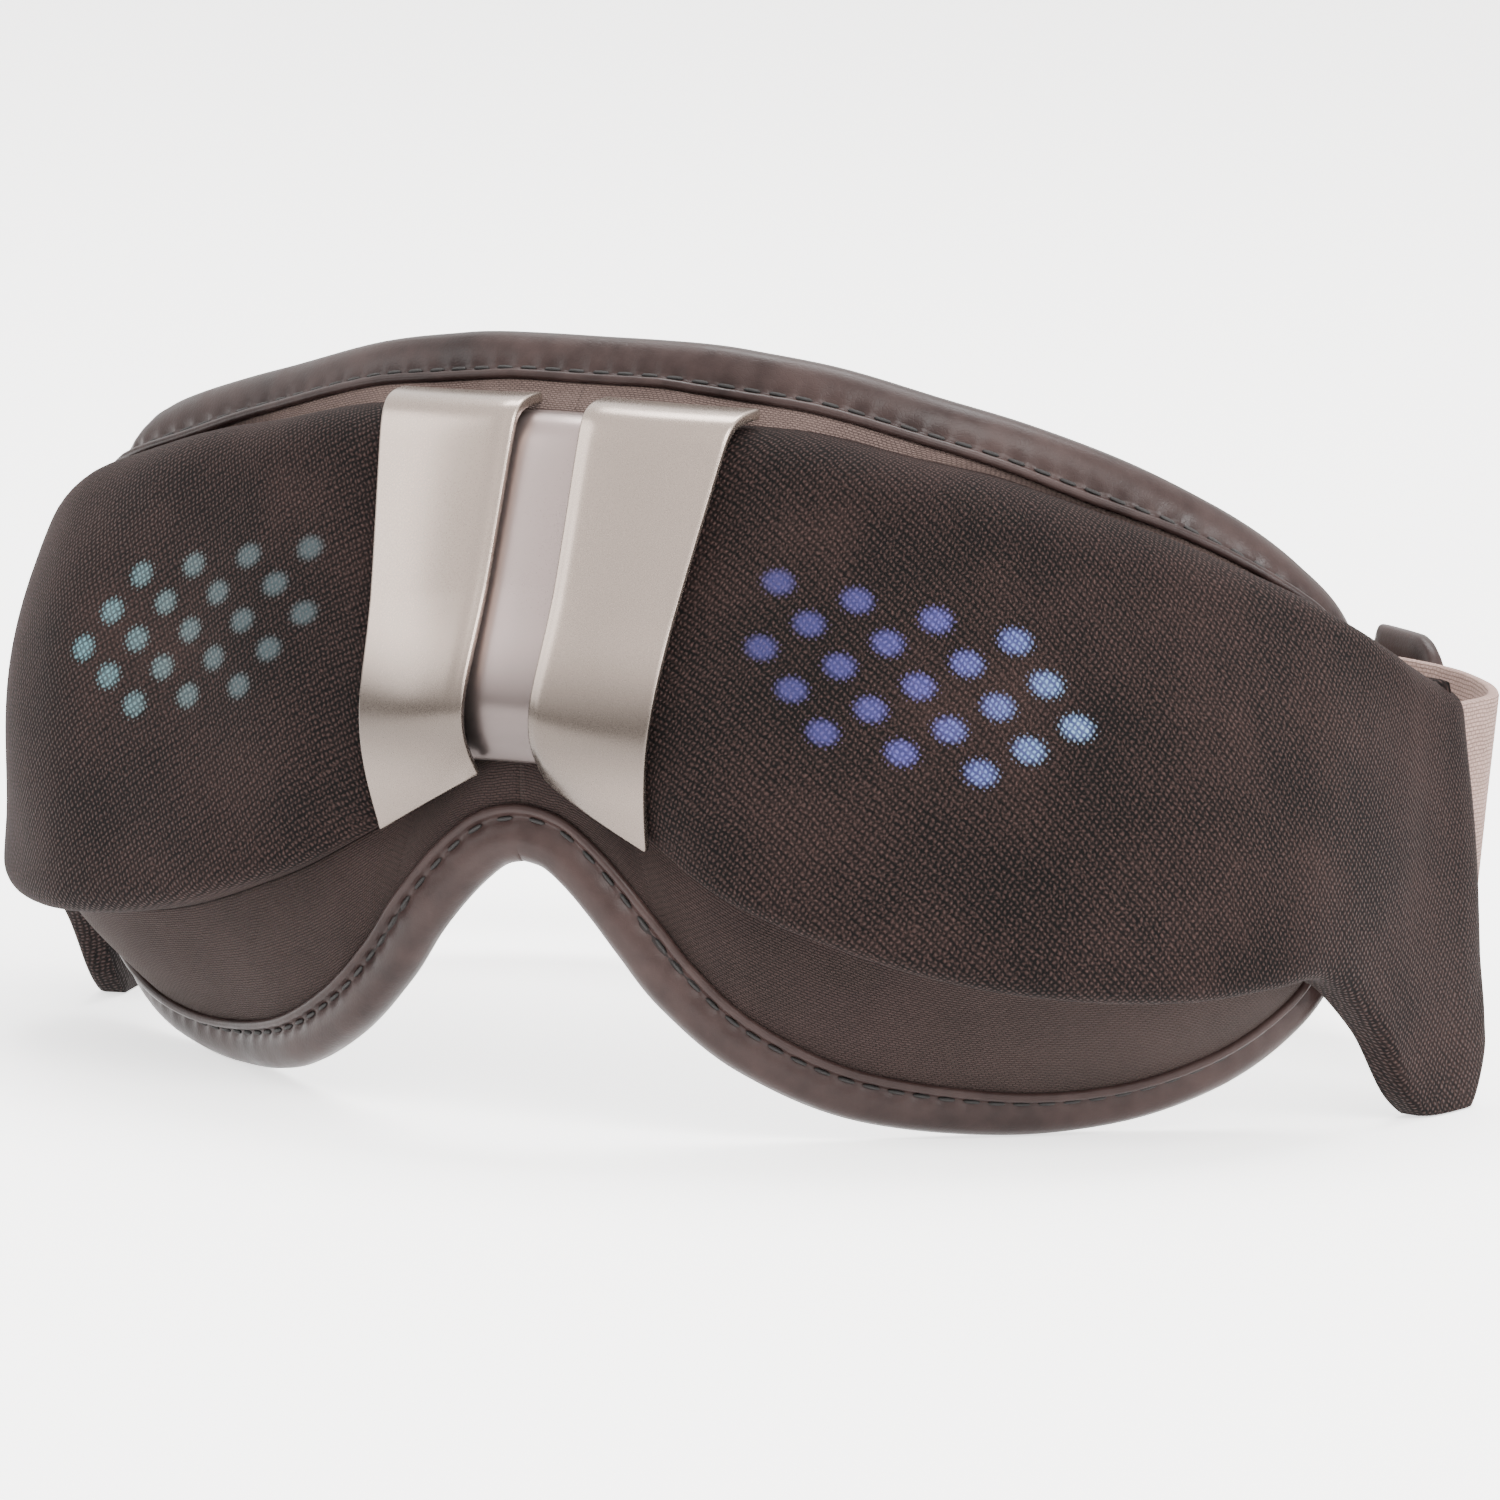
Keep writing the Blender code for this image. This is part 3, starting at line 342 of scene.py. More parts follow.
def bevelled(thing, width, segments=2):
    """Rounds the edges of a thickened sheet."""
    edge = thing.modifiers.new("edges", "BEVEL")
    edge.width = width * MM
    edge.segments = segments
    edge.limit_method = "ANGLE"
    edge.angle_limit = math.radians(50)
    edge.harden_normals = False
    return thing


# ---------------------------------------------------------------- materials

class Shader:
    """Builds a node material step by step."""

    def __init__(self, name):
        self.material = bpy.data.materials.new(name)
        self.material.use_nodes = True
        self.tree = self.material.node_tree
        self.main = self.tree.nodes["Principled BSDF"]

    def node(self, kind, inputs=None, **settings):
        made = self.tree.nodes.new(kind)
        for key, value in settings.items():
            setattr(made, key, value)
        for key, value in (inputs or {}).items():
            self.feed(made.inputs[key], value)
        return made

    def feed(self, socket, value):
        if isinstance(value, bpy.types.NodeSocket):
            self.tree.links.new(value, socket)
        else:
            socket.default_value = value

    def math(self, operation, a, b=0.0, c=0.0, clamp=False):
        made = self.node("ShaderNodeMath", {0: a, 1: b, 2: c}, operation=operation, use_clamp=clamp)
        return made.outputs[0]

    def times(self, a, b):
        return self.math("MULTIPLY", a, b)

    def plus(self, a, b, clamp=False):
        return self.math("ADD", a, b, clamp=clamp)

    def below(self, a, b):
        return self.math("LESS_THAN", a, b)

    def mix(self, factor, a, b):
        made = self.node("ShaderNodeMix", data_type="RGBA")
        self.feed(made.inputs[0], factor)
        self.feed(made.inputs[6], a)
        self.feed(made.inputs[7], b)
        return made.outputs[2]

    def ramp(self, value, low, high, start=0.0, end=1.0):
        made = self.node("ShaderNodeMapRange", {0: value, 1: low, 2: high, 3: start, 4: end})
        return made.outputs[0]

    def noise(self, vector, scale, detail=3.0, roughness=0.55):
        made = self.node("ShaderNodeTexNoise", {"Scale": scale, "Detail": detail, "Roughness": roughness})
        self.feed(made.inputs["Vector"], vector)
        return made.outputs["Fac"]

    def cloth(self):
        """Cloth coordinates u and v in millimetres."""
        layer = self.node("ShaderNodeUVMap", uv_map="cloth").outputs[0]
        parts = self.node("ShaderNodeSeparateXYZ", {0: layer})
        return self.times(parts.outputs[0], 100.0), self.times(parts.outputs[1], 100.0)

    def place(self):
        """Object coordinates, in metres."""
        return self.node("ShaderNodeTexCoord").outputs["Object"]

    def join(self, x, y, z=0.0):
        return self.node("ShaderNodeCombineXYZ", {0: x, 1: y, 2: z}).outputs[0]

    def bump(self, height, distance, strength=1.0, under=None):
        values = {"Height": height, "Distance": distance * MM, "Strength": strength}
        made = self.node("ShaderNodeBump", values)
        if under is not None:
            self.feed(made.inputs["Normal"], under)
        return made.outputs[0]

    def finish(self, **values):
        for key, value in values.items():
            self.feed(self.main.inputs[key.replace("_", " ")], value)
        return self.material


def colour(*srgb):
    """Linear colour from 8-bit sRGB values."""
    linear = []
    for value in srgb:
        c = value / 255
        linear.append(c / 12.92 if c <= 0.04045 else ((c + 0.055) / 1.055) ** 2.4)
    return (*linear, 1.0)


def wave(shader, value, pitch):
    """A sine wave, from 0 to 1, of a length in millimetres."""
    turn = shader.math("SINE", shader.math("MULTIPLY", value, 2 * math.pi / pitch))
    return shader.math("MULTIPLY_ADD", turn, 0.5, 0.5)


def knit_material(name, dark, light, lamps=None, side=1):
    """Fine diagonal knit, with the lamps glowing through it where it has any, and a painted glow tint in the
    cloth's colour over each lamp.
    """
    s = Shader(name)
    u, v = s.cloth()
    spot = s.join(u, v)
    wobble = s.math("MULTIPLY_ADD", s.noise(spot, 0.35, 2.0), 1.2, -0.6)
    u = s.plus(u, wobble)
    v = s.math("MULTIPLY_ADD", s.noise(spot, 0.8, 2.0), 0.7, v)
    one = wave(s, s.plus(s.times(u, 0.90), s.times(v, 0.43)), 0.60)
    two = wave(s, s.plus(s.times(u, -0.50), s.times(v, 0.87)), 0.66)
    yarn = s.times(s.math("POWER", one, 1.3), s.math("POWER", two, 1.3))
    line = wave(s, s.plus(s.times(u, 0.64), s.times(v, -0.77)), 1.24)
    height = s.plus(s.times(yarn, 0.88), s.times(line, 0.12))
    broad = s.noise(spot, 0.045, 3.0)
    fleck = s.noise(spot, 2.6, 1.0)
    tone = s.plus(s.times(height, 0.62), s.times(s.ramp(fleck, 0.5, 0.78), 0.35))
    tone = s.plus(tone, s.ramp(broad, 0.3, 0.75, -0.12, 0.12), clamp=True)
    base = s.mix(tone, dark, light)
    extras = {}
    if lamps:
        run, painted_glow_tint, strength = lamps
        spot3 = s.place()

        def along_axis(row):
            scaled = Vector(row[k] * (side if k == 0 else 1) * 1000 for k in range(3))
            made = s.node("ShaderNodeVectorMath", {0: spot3, 1: scaled}, operation="DOT_PRODUCT")
            shift = float(row @ (LAMP_CENTRE - np.array((0, CENTRE_Y, 0))))
            return s.math("SUBTRACT", made.outputs["Value"], shift)

        a, deep, b = (along_axis(row) for row in LAMP_BASIS)

        def cell(shift_a, shift_b, mask):
            x = s.math("PINGPONG", s.plus(a, shift_a), LAMP_PITCH / 2)
            y = s.math("PINGPONG", s.plus(b, shift_b), LAMP_ROW)
            y = s.times(y, 1.28)
            reach = s.math("SQRT", s.plus(s.times(x, x), s.times(y, y)))
            return s.plus(reach, s.times(s.math("SUBTRACT", 1.0, mask), 9.0))

        rows = s.math("ABSOLUTE", b)
        across = s.math("ABSOLUTE", a)
        middle = s.below(rows, LAMP_ROW)
        limit = s.math("MULTIPLY_ADD", middle, LAMP_PITCH, 1.5 * LAMP_PITCH)
        even = s.times(s.below(across, limit), s.below(rows, 3 * LAMP_ROW))
        # One more lamp at the outer end of the upper row.
        spare = s.times(s.below(across, 2.5 * LAMP_PITCH), s.below(a, 0.0))
        spare = s.times(spare, s.math("GREATER_THAN", b, LAMP_ROW))
        even = s.math("MAXIMUM", even, s.times(spare, s.below(b, 3 * LAMP_ROW)))
        odd = s.times(s.below(across, 2 * LAMP_PITCH),
                     s.below(rows, 2 * LAMP_ROW))
        gap = s.math("MINIMUM", cell(0.0, 0.0, even), cell(LAMP_PITCH / 2, LAMP_ROW, odd))
        fuzzy = s.plus(gap, s.times(s.math("SUBTRACT", 0.4, height), 0.9))
        dot = s.ramp(fuzzy, LAMP_RADIUS - 0.75, LAMP_RADIUS + 0.45, 1.0, 0.0)
        dot = s.times(dot, s.below(deep, 9.0))
        along = s.ramp(a, -2.3 * LAMP_PITCH, 2.2 * LAMP_PITCH)
        stops = s.node("ShaderNodeValToRGB", {0: along})
        elements = stops.color_ramp.elements
        for k, (position, shade) in enumerate(run):
            stop = elements[k] if k < 2 else elements.new(position)
            stop.position = position
            stop.color = shade
        glow = stops.outputs[0]
        lit = s.times(dot, s.ramp(height, 0.05, 0.6, 0.22, 1.9))
        lit = s.times(lit, s.ramp(a, -2.2 * LAMP_PITCH, 2.0 * LAMP_PITCH, 0.42, 1.35))
        extras["Emission_Color"] = glow
        extras["Emission_Strength"] = s.times(lit, strength)
        # Painted glow: the cloth's colour over each lamp is pulled towards a tint of the lamp's light.
        base = s.mix(s.times(dot, 0.35), base, painted_glow_tint)
    hair = s.noise(spot, 6.0, 2.0)
    normal = s.bump(hair, 0.05, 0.35)
    normal = s.bump(height, 0.16, 0.85, normal)
    return s.finish(Base_Color=base, Roughness=s.ramp(height, 0, 1, 0.92, 0.7), Normal=normal,
                    Sheen_Weight=0.04, Sheen_Roughness=0.4, Sheen_Tint=colour(190, 160, 155),
                    Specular_IOR_Level=0.1, **extras)


def dash_material(name, dark, light, width=1.35, height=0.62, depth=0.14):
    """Ribbed cloth of short horizontal dashes in staggered rows."""
    s = Shader(name)
    u, v = s.cloth()
    spot = s.join(u, v)
    v2 = s.math("MULTIPLY_ADD", s.noise(spot, 0.25, 2.0), 0.6, v)
    brick = s.node("ShaderNodeTexBrick", {"Vector": s.join(u, v2), "Scale": 1.0, "Mortar Size": 0.13,
                                          "Mortar Smooth": 1.0, "Bias": 0.0, "Brick Width": width,
                                          "Row Height": height, "Color1": (1, 1, 1, 1),
                                          "Color2": (0.75, 0.75, 0.75, 1), "Mortar": (0, 0, 0, 1)},
                   offset=0.5)
    value = s.node("ShaderNodeRGBToBW", {0: brick.outputs[0]}).outputs[0]
    fleck = s.noise(spot, 2.0, 2.0)
    broad = s.noise(spot, 0.06, 2.0)
    tone = s.plus(s.times(value, 0.6), s.times(fleck, 0.4))
    tone = s.plus(tone, s.ramp(broad, 0.3, 0.7, -0.12, 0.1), clamp=True)
    normal = s.bump(value, depth, 0.9, s.bump(fleck, 0.05, 0.4))
    return s.finish(Base_Color=s.mix(tone, dark, light), Roughness=0.86, Normal=normal, Sheen_Weight=0.06,
                    Sheen_Roughness=0.5, Sheen_Tint=colour(200, 180, 170), Specular_IOR_Level=0.12)


def leather_material(name, dark, light, roughness=0.42, pores=0.0):
    """Smooth leather with a fine grain; pores adds rows of breathing holes."""
    s = Shader(name)
    spot = s.place()
    grain = s.node("ShaderNodeTexVoronoi", {"Vector": spot, "Scale": 1500.0}, feature="DISTANCE_TO_EDGE")
    fine = s.ramp(grain.outputs["Distance"], 0.0, 0.12)
    crease = s.noise(spot, 260.0, 4.0)
    broad = s.noise(spot, 38.0, 3.0)
    tone = s.plus(s.times(broad, 0.6), s.times(crease, 0.4))
    base = s.mix(s.ramp(tone, 0.35, 0.65), dark, light)
    normal = s.bump(crease, 0.12, 0.35)
    normal = s.bump(fine, 0.02, 0.4, normal)
    rough = s.ramp(crease, 0.3, 0.7, roughness - 0.05, roughness + 0.1)
    if pores:
        u, v = s.cloth()
        x = s.math("PINGPONG", u, pores / 2)
        y = s.math("PINGPONG", v, pores / 2)
        hole = s.math("SQRT", s.plus(s.times(x, x), s.times(y, y)))
        open_ = s.ramp(hole, 0.28, 0.42)
        base = s.mix(open_, colour(14, 12, 12), base)
        normal = s.bump(open_, 0.3, 0.8, normal)
    return s.finish(Base_Color=base, Roughness=rough, Normal=normal, Specular_IOR_Level=0.14,
                    Coat_Weight=0.0, Coat_Roughness=0.35)


def satin_material(name, base_colour, metallic=0.55, roughness=0.3, shaded=False):
    """Champagne coating over metal, with a fine grain and a satin shine.

    With shaded set, a level dark band is painted low on it. It stands in for a dark reflection there.
    """
    s = Shader(name)
    spot = s.place()
    grain = s.noise(spot, 5200.0, 2.0)
    cloud = s.noise(spot, 60.0, 3.0)
    pale = tuple(min(1.0, c * 1.06) for c in base_colour[:3]) + (1.0,)
    deep = tuple(c * 0.93 for c in base_colour[:3]) + (1.0,)
    base = s.mix(s.math("MULTIPLY_ADD", grain, 0.6, s.times(cloud, 0.4)), deep, pale)
    rough = s.plus(s.ramp(grain, 0.3, 0.7, roughness - 0.03, roughness + 0.05),
                   s.ramp(cloud, 0.3, 0.7, -0.02, 0.03))
    if shaded:
        height = s.node("ShaderNodeSeparateXYZ", {0: spot}).outputs[2]
        belly = s.node("ShaderNodeMapRange", {0: height, 1: SHADE_IN[0], 2: SHADE_IN[1], 3: 1.0, 4: 0.0},
                       interpolation_type="SMOOTHSTEP").outputs[0]
        foot = s.node("ShaderNodeMapRange", {0: height, 1: SHADE_OUT[0], 2: SHADE_OUT[1], 3: 0.35, 4: 0.0},
                      interpolation_type="SMOOTHSTEP").outputs[0]
        shade = tuple(c * 0.22 for c in base_colour[:3]) + (1.0,)
        base = s.mix(s.times(s.math("SUBTRACT", belly, foot), 0.9), base, shade)
    return s.finish(Base_Color=base, Metallic=metallic, Roughness=rough, Normal=s.bump(grain, 0.012, 0.5),
                    Coat_Weight=0.15, Coat_Roughness=0.25)


def moulded_material(name, base_colour, roughness=0.5, metallic=0.0, grain_size=0.35):
    """Moulded or machined surface with a fine eroded grain."""
    s = Shader(name)
    spot = s.place()
    grain = s.noise(spot, 1000.0 / grain_size, 3.0)
    cloud = s.noise(spot, 90.0, 2.0)
    pale = tuple(min(1.0, c * 1.25 + 0.003) for c in base_colour[:3]) + (1.0,)
    base = s.mix(s.ramp(cloud, 0.3, 0.7), base_colour, pale)
    rough = s.ramp(grain, 0.3, 0.7, roughness - 0.06, roughness + 0.08)
    return s.finish(Base_Color=base, Metallic=metallic, Roughness=rough, Normal=s.bump(grain, 0.03, 0.5))


def board_material(name):
    """Green solder mask with copper tracks and small pads."""
    s = Shader(name)
    spot = s.place()
    cells = s.node("ShaderNodeTexVoronoi", {"Vector": spot, "Scale": 420.0},
                   feature="F1", distance="MANHATTAN")
    track = s.ramp(cells.outputs["Distance"], 0.42, 0.46)
    pads = s.ramp(cells.outputs["Distance"], 0.12, 0.15, 1.0, 0.0)
    base = s.mix(track, colour(18, 78, 44), colour(34, 110, 62))
    base = s.mix(pads, base, colour(200, 190, 170))
    return s.finish(Base_Color=base, Roughness=0.35, Metallic=s.times(pads, 0.8),
                    Normal=s.bump(track, 0.04, 0.6))


PURPLE_RUN = (
    (0.0, colour(52, 50, 78)), (1.0, colour(150, 200, 222)), (0.30, colour(84, 80, 150)),
    (0.55, colour(104, 106, 196)), (0.74, colour(118, 150, 214)), (0.88, colour(136, 192, 226)),
)
CYAN_RUN = (
    (0.0, colour(78, 74, 74)), (1.0, colour(112, 190, 205)), (0.35, colour(112, 122, 122)),
    (0.6, colour(128, 160, 160)), (0.8, colour(120, 182, 192)),
)
KNIT_DARK = colour(4, 3, 3)
KNIT_LIGHT = colour(60, 44, 41)
M = {
    # Lamps: glow colours along the row, a painted glow tint for the cloth over each lamp, and glow strength.
    "knit_left": knit_material("knit_left", KNIT_DARK, KNIT_LIGHT, (PURPLE_RUN, colour(60, 60, 110), 0.55)),
    "knit_right": knit_material("knit_right", KNIT_DARK, KNIT_LIGHT,
                                (CYAN_RUN, colour(70, 84, 88), 0.30), -1),
    "skirt": dash_material("skirt_cloth", colour(3, 2, 2), colour(50, 38, 36), 0.8, 0.36, 0.12),
    "gusset": dash_material("gusset_cloth", colour(40, 32, 30), colour(104, 88, 83), 0.6, 0.32, 0.08),
    "leather": leather_material("rim_leather", colour(28, 19, 18), colour(50, 38, 36), 0.34),
    "face": leather_material("face_leather", colour(16, 12, 11), colour(28, 22, 21), 0.5),
    "thread": moulded_material("thread", colour(12, 9, 8), 0.8, 0.0, 0.2),
    "champagne": satin_material("champagne", colour(143, 130, 121), 0.9, 0.27, True),
    "band": satin_material("band_champagne", colour(148, 134, 131), 0.9, 0.3, True),
    "webbing": dash_material("webbing", colour(78, 62, 57), colour(150, 126, 118), 0.9, 0.5, 0.16),
    "lining": knit_material("wing_lining", colour(9, 7, 7), colour(38, 30, 28)),
    "plastic": moulded_material("housing_plastic", colour(38, 36, 36), 0.5),
    "steel": moulded_material("steel", colour(190, 190, 192), 0.3, 1.0, 0.15),
    "guide": moulded_material("light_guide", colour(205, 216, 224), 0.4),
    "board": board_material("circuit_board"),
    "film": moulded_material("airbag_film", colour(150, 152, 156), 0.35),
    "heater": moulded_material("heater_film", colour(176, 108, 46), 0.38),
    "battery": moulded_material("battery_wrap", colour(56, 84, 140), 0.35),
    "pump": moulded_material("pump_metal", colour(168, 168, 172), 0.35, 0.85),
    "button": satin_material("button_plastic", colour(112, 101, 95), 0.15, 0.38),
    "silicone": moulded_material("silicone", colour(150, 150, 152), 0.5),
    "hooks": moulded_material("hook_tape", colour(52, 46, 44), 0.95, 0.0, 0.8),
}
FINISHES = {
    "housing_plastic": "plastic", "steel": "steel", "light_guide": "guide", "circuit_board": "board",
    "airbag_film": "film", "heater_film": "heater", "battery_wrap": "battery", "pump_metal": "pump",
    "button_plastic": "button", "silicone": "silicone", "hook_tape": "hooks", "lining": "face",
    "leather": "leather", "shell_fabric": "lining", "skirt_fabric": "skirt", "webbing": "webbing",
    "champagne": "champagne", "band_champagne": "band",
}
for entry in frame["record"]["subparts"]:
    node = frame["nodes"][entry["node"]]
    node.data.materials.clear()
    dark_cable = entry["node"] == "flex_cable"
    node.data.materials.append(M["plastic" if dark_cable else FINISHES[entry["material_slot"]]])


# ---------------------------------------------------------------- pieces

SIDES = (("left", 1), ("right", -1))


def cross(piece, tag, side, start=3.5, end=15.0):
    """Makes the modifiers of a soft piece that starts on the bridge and goes over to a half its own, and
    bakes its place into its mesh.
    """
    finalise(piece)
    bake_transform(piece)
    return piece


def ride(piece, tag):
    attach(piece, tag + "_half")
    return piece


def rim_line():
    """Centre line of the leather rim from the middle of the bridge round to the nose."""
    tops, bottoms = COLUMNS[:, 0:3], COLUMNS[::-1, 3:6]
    table = np.concatenate((RIM_TOP_START, tops, RIM_SIDE, bottoms, RIM_NOSE))
    return even_line(table, 0.4)


def rim_target():
    """Where the leather rim faces: the pod's edges that the cloth beside it comes from."""
    body = skin(np.linspace(0.0, 8.6, 90))
    upper = np.concatenate((np.array([[x, 17.5, 86.2] for x in np.linspace(0, 11, 12)]), body[:, 0]))
    nose = np.stack((np.linspace(0, 11.5, 12), np.linspace(3.2, 4.0, 12), np.linspace(47.5, 41.5, 12)), 1)
    lower = np.concatenate((nose, body[:, -1]))
    return upper, lower


def nearest_by_x(curve, x):
    """Points of a curve that runs steadily outwards, at the given x."""
    return np.stack([np.interp(x, curve[:, 0], curve[:, k]) for k in range(3)], -1)


def rim_frames():
    """Line, distance run, and forward and outward directions of the leather rim."""
    line, run = rim_line()
    upper, lower = rim_target()
    count = len(line)
    share = run / run[-1]
    high = nearest_by_x(upper, line[:, 0])
    low = nearest_by_x(lower, line[:, 0])
    turn_start = np.argmax(line[:, 0] > 79.5)
    turn_end = count - np.argmax(line[::-1, 0] > 80.4)
    weight = smooth_step((np.arange(count) - turn_start) / max(1, turn_end - turn_start))
    ahead = unit(high - line) * (1 - weight)[:, None] + unit(low - line) * weight[:, None]
    out = np.exp(-((weight - 0.5) / 0.28) ** 2)[:, None] * np.array((0.75, -0.45, 0.0))
    tangent = tangents(line)
    ahead = ahead + out
    ahead = unit(ahead - tangent * np.sum(ahead * tangent, 1)[:, None])
    for _ in range(30):
        ahead[1:-1] = unit(0.5 * ahead[1:-1] + 0.25 * (ahead[:-2] + ahead[2:]))
    ahead = unit(ahead - tangent * np.sum(ahead * tangent, 1)[:, None])
    outward = np.cross(tangent, ahead)
    centre = np.array((40.0, 36.0, 48.0))
    sign = np.sign(np.sum(outward * (line - centre), 1))[:, None]
    outward = outward * np.sign(np.sum(sign))
    top = 1 - np.clip((share - 0.30) / 0.15, 0, 1)
    return line, run, ahead, outward, tangent, top


RIM = rim_frames()


def rim_section(top):
    """Section of the leather rim, forward and outward in millimetres: roll, stitch groove and welt."""
    reach = 1.0 + 0.30 * top
    groove = 3.0 * reach
    return [
        (-2.6, 0.0), (-2.44, 0.9), (-1.95, 1.72), (-1.15, 2.33), (-0.2, 2.6), (0.8 * reach, 2.5),
        (1.6 * reach, 2.22), (2.2 * reach, 1.86), (2.65 * reach, 1.5), (groove, 1.18),
        (groove + 0.35, 1.3), (groove + 0.6, 1.62),
        (groove + 0.95, 1.86), (groove + 1.35, 1.84), (groove + 1.65, 1.6), (groove + 1.75, 1.25),
        (groove + 1.6, 0.8), (groove + 1.0, 0.45), (groove, 0.2), (2.55, -0.3), (2.3, -1.2), (1.6, -2.05),
        (0.6, -2.53), (-0.5, -2.55), (-1.5, -2.12), (-2.25, -1.3),
    ]


# Rings of one stitch: place along it and radius.
STITCH_RINGS = ((-1.05, 0.06), (-0.8, 0.22), (0.0, 0.27), (0.8, 0.22), (1.05, 0.06))


def make_rim(tag, side):
    """Leather rim with its roll, stitch groove and welt, and the stitches in the groove."""
    line, run, ahead, outward, tangent, top = RIM
    sections = np.array([rim_section(t) for t in top])
    phase = np.abs(np.cos(np.pi * run / STITCH))
    pucker = phase ** 3
    near_groove = np.array([math.exp(-((k - 9) / 1.7) ** 2) for k in range(sections.shape[1])])
    depth = sections[..., 1] + (0.34 * pucker[:, None] - 0.22) * near_groove[None]
    points = line[:, None] + ahead[:, None] * sections[..., 0:1] + outward[:, None] * depth[..., None]
    points[[0, -1], :, 0] = 0.0
    rim = grid_object("leather_rim_" + tag, points, side, M["leather"], wrap=True)
    fix_normals(rim)
    cross(rim, tag, side)
    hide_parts("cushion_roll_" + tag)
    spots = np.arange(STITCH / 2, run[-1] - STITCH / 4, STITCH)
    vertices, faces = [], []
    for at in spots:
        k = int(np.argmin(np.abs(run - at)))
        section = rim_section(top[k])[9]
        middle = line[k] + ahead[k] * section[0] + outward[k] * (section[1] + 0.06)
        first = len(vertices)
        for i, (along, wide) in enumerate(STITCH_RINGS):
            for j in range(8):
                angle = math.pi * j / 4
                vertices.append(middle + tangent[k] * along + ahead[k] * wide * math.cos(angle)
                                + outward[k] * wide * math.sin(angle))
            if i:
                base = first + 8 * i
                for j in range(8):
                    a, b = base + j, base + (j + 1) % 8
                    faces.append((a - 8, b - 8, b, a) if side > 0 else (a, b, b - 8, a - 8))
        faces.append(tuple(range(first + 7, first - 1, -1)) if side > 0 else tuple(range(first, first + 8)))
        end = first + 32
        faces.append(tuple(range(end, end + 8)) if side > 0 else tuple(range(end + 7, end - 1, -1)))
    stitches = make_object("rim_stitches_" + tag, place(np.array(vertices), side), faces, M["thread"])
    return cross(stitches, tag, side)


def fix_normals(thing):
    """Turns all faces outwards."""
    shape = bmesh.new()
    shape.from_mesh(thing.data)
    bmesh.ops.recalc_face_normals(shape, faces=shape.faces)
    shape.to_mesh(thing.data)
    shape.free()
    return thing


def make_shell(tag, side):
    """Knitted cover of a pod and its wing, softly padded under the cloth."""
    u = np.linspace(0.0, LAST, 300)
    points = skin(u, 84)
    uv = arc_uv(points)
    into = inward(u)[:, None]
    soft = 0.16 * np.sin(uv[..., 0:1] / 7.3 + 1.1) * np.sin(uv[..., 1:2] / 9.1 + 0.4)
    soft += 0.10 * np.sin(uv[..., 0:1] / 3.9 + uv[..., 1:2] / 5.2)
    edge = np.clip(np.minimum(uv[..., 1:2] - 9.0, uv[:, -1:, 1:2] - uv[..., 1:2] - 8.0) / 6.0, 0, 1)
    points = points - into * soft * edge
    cover = grid_object("knit_cover_" + tag, points, side, M["knit_" + tag], FABRIC, uv)
    if side < 0:
        cut_for_bezel(cover)
    ride(cover, tag)
    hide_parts("fabric_cover_" + tag)
    return cover


def cut_for_bezel(cover):
    """Opens the cover round the control bezel."""
    low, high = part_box("control_bezel")
    middle = (Vector(low) + Vector(high)) / 2
    into = Vector(PRESS)
    up = Vector((0.07, 0.0, 1.0))
    up = (up - into * up.dot(into)).normalized()
    across = up.cross(into).normalized()
    shape = bmesh.new()
    ring = []
    length, width, reach = BEZEL_HEIGHT * MM, BEZEL_WIDTH * MM, BEZEL_REACH * MM
    for end, start in ((1, 0.0), (-1, math.pi)):
        for k in range(17):
            angle = start + math.pi * k / 16
            spot = across * (width / 2 * math.cos(angle)) + up * (end * (length - width) / 2
                                                                  + width / 2 * math.sin(angle))
            ring.append(shape.verts.new(middle - into * reach + spot))
    face = shape.faces.new(ring)
    swept = bmesh.ops.extrude_face_region(shape, geom=[face])
    moved = [item for item in swept["geom"] if isinstance(item, bmesh.types.BMVert)]
    bmesh.ops.translate(shape, vec=into * 2 * reach, verts=moved)
    bmesh.ops.recalc_face_normals(shape, faces=shape.faces)
    mesh = bpy.data.meshes.new("bezel_cut")
    shape.to_mesh(mesh)
    shape.free()
    cutter = bpy.data.objects.new("bezel_cut", mesh)
    bpy.context.scene.collection.objects.link(cutter)
    cut = cover.modifiers.new("bezel", "BOOLEAN")
    cut.operation = "DIFFERENCE"
    cut.object = cutter
    finalise(cover)
    bpy.data.objects.remove(cutter)


def lower_edge(count_nose, count_pod):
    """Where the skirt leaves the pod, from the middle of the nose outwards."""
    nose_x = np.linspace(0, 11.6, count_nose, endpoint=False)
    t = nose_x / 12.3
    nose = np.stack((nose_x, 3.3 + 0.9 * t ** 2, 47.4 - 6.6 * t ** 1.6), 1)
    c = np.linspace(0, 8.2, count_pod)
    u = c + 0.35 * (1 - c / 8.0)
    pod = skin(u)[:, -1] + inward(u) * 0.4
    return np.concatenate((nose, pod)), c


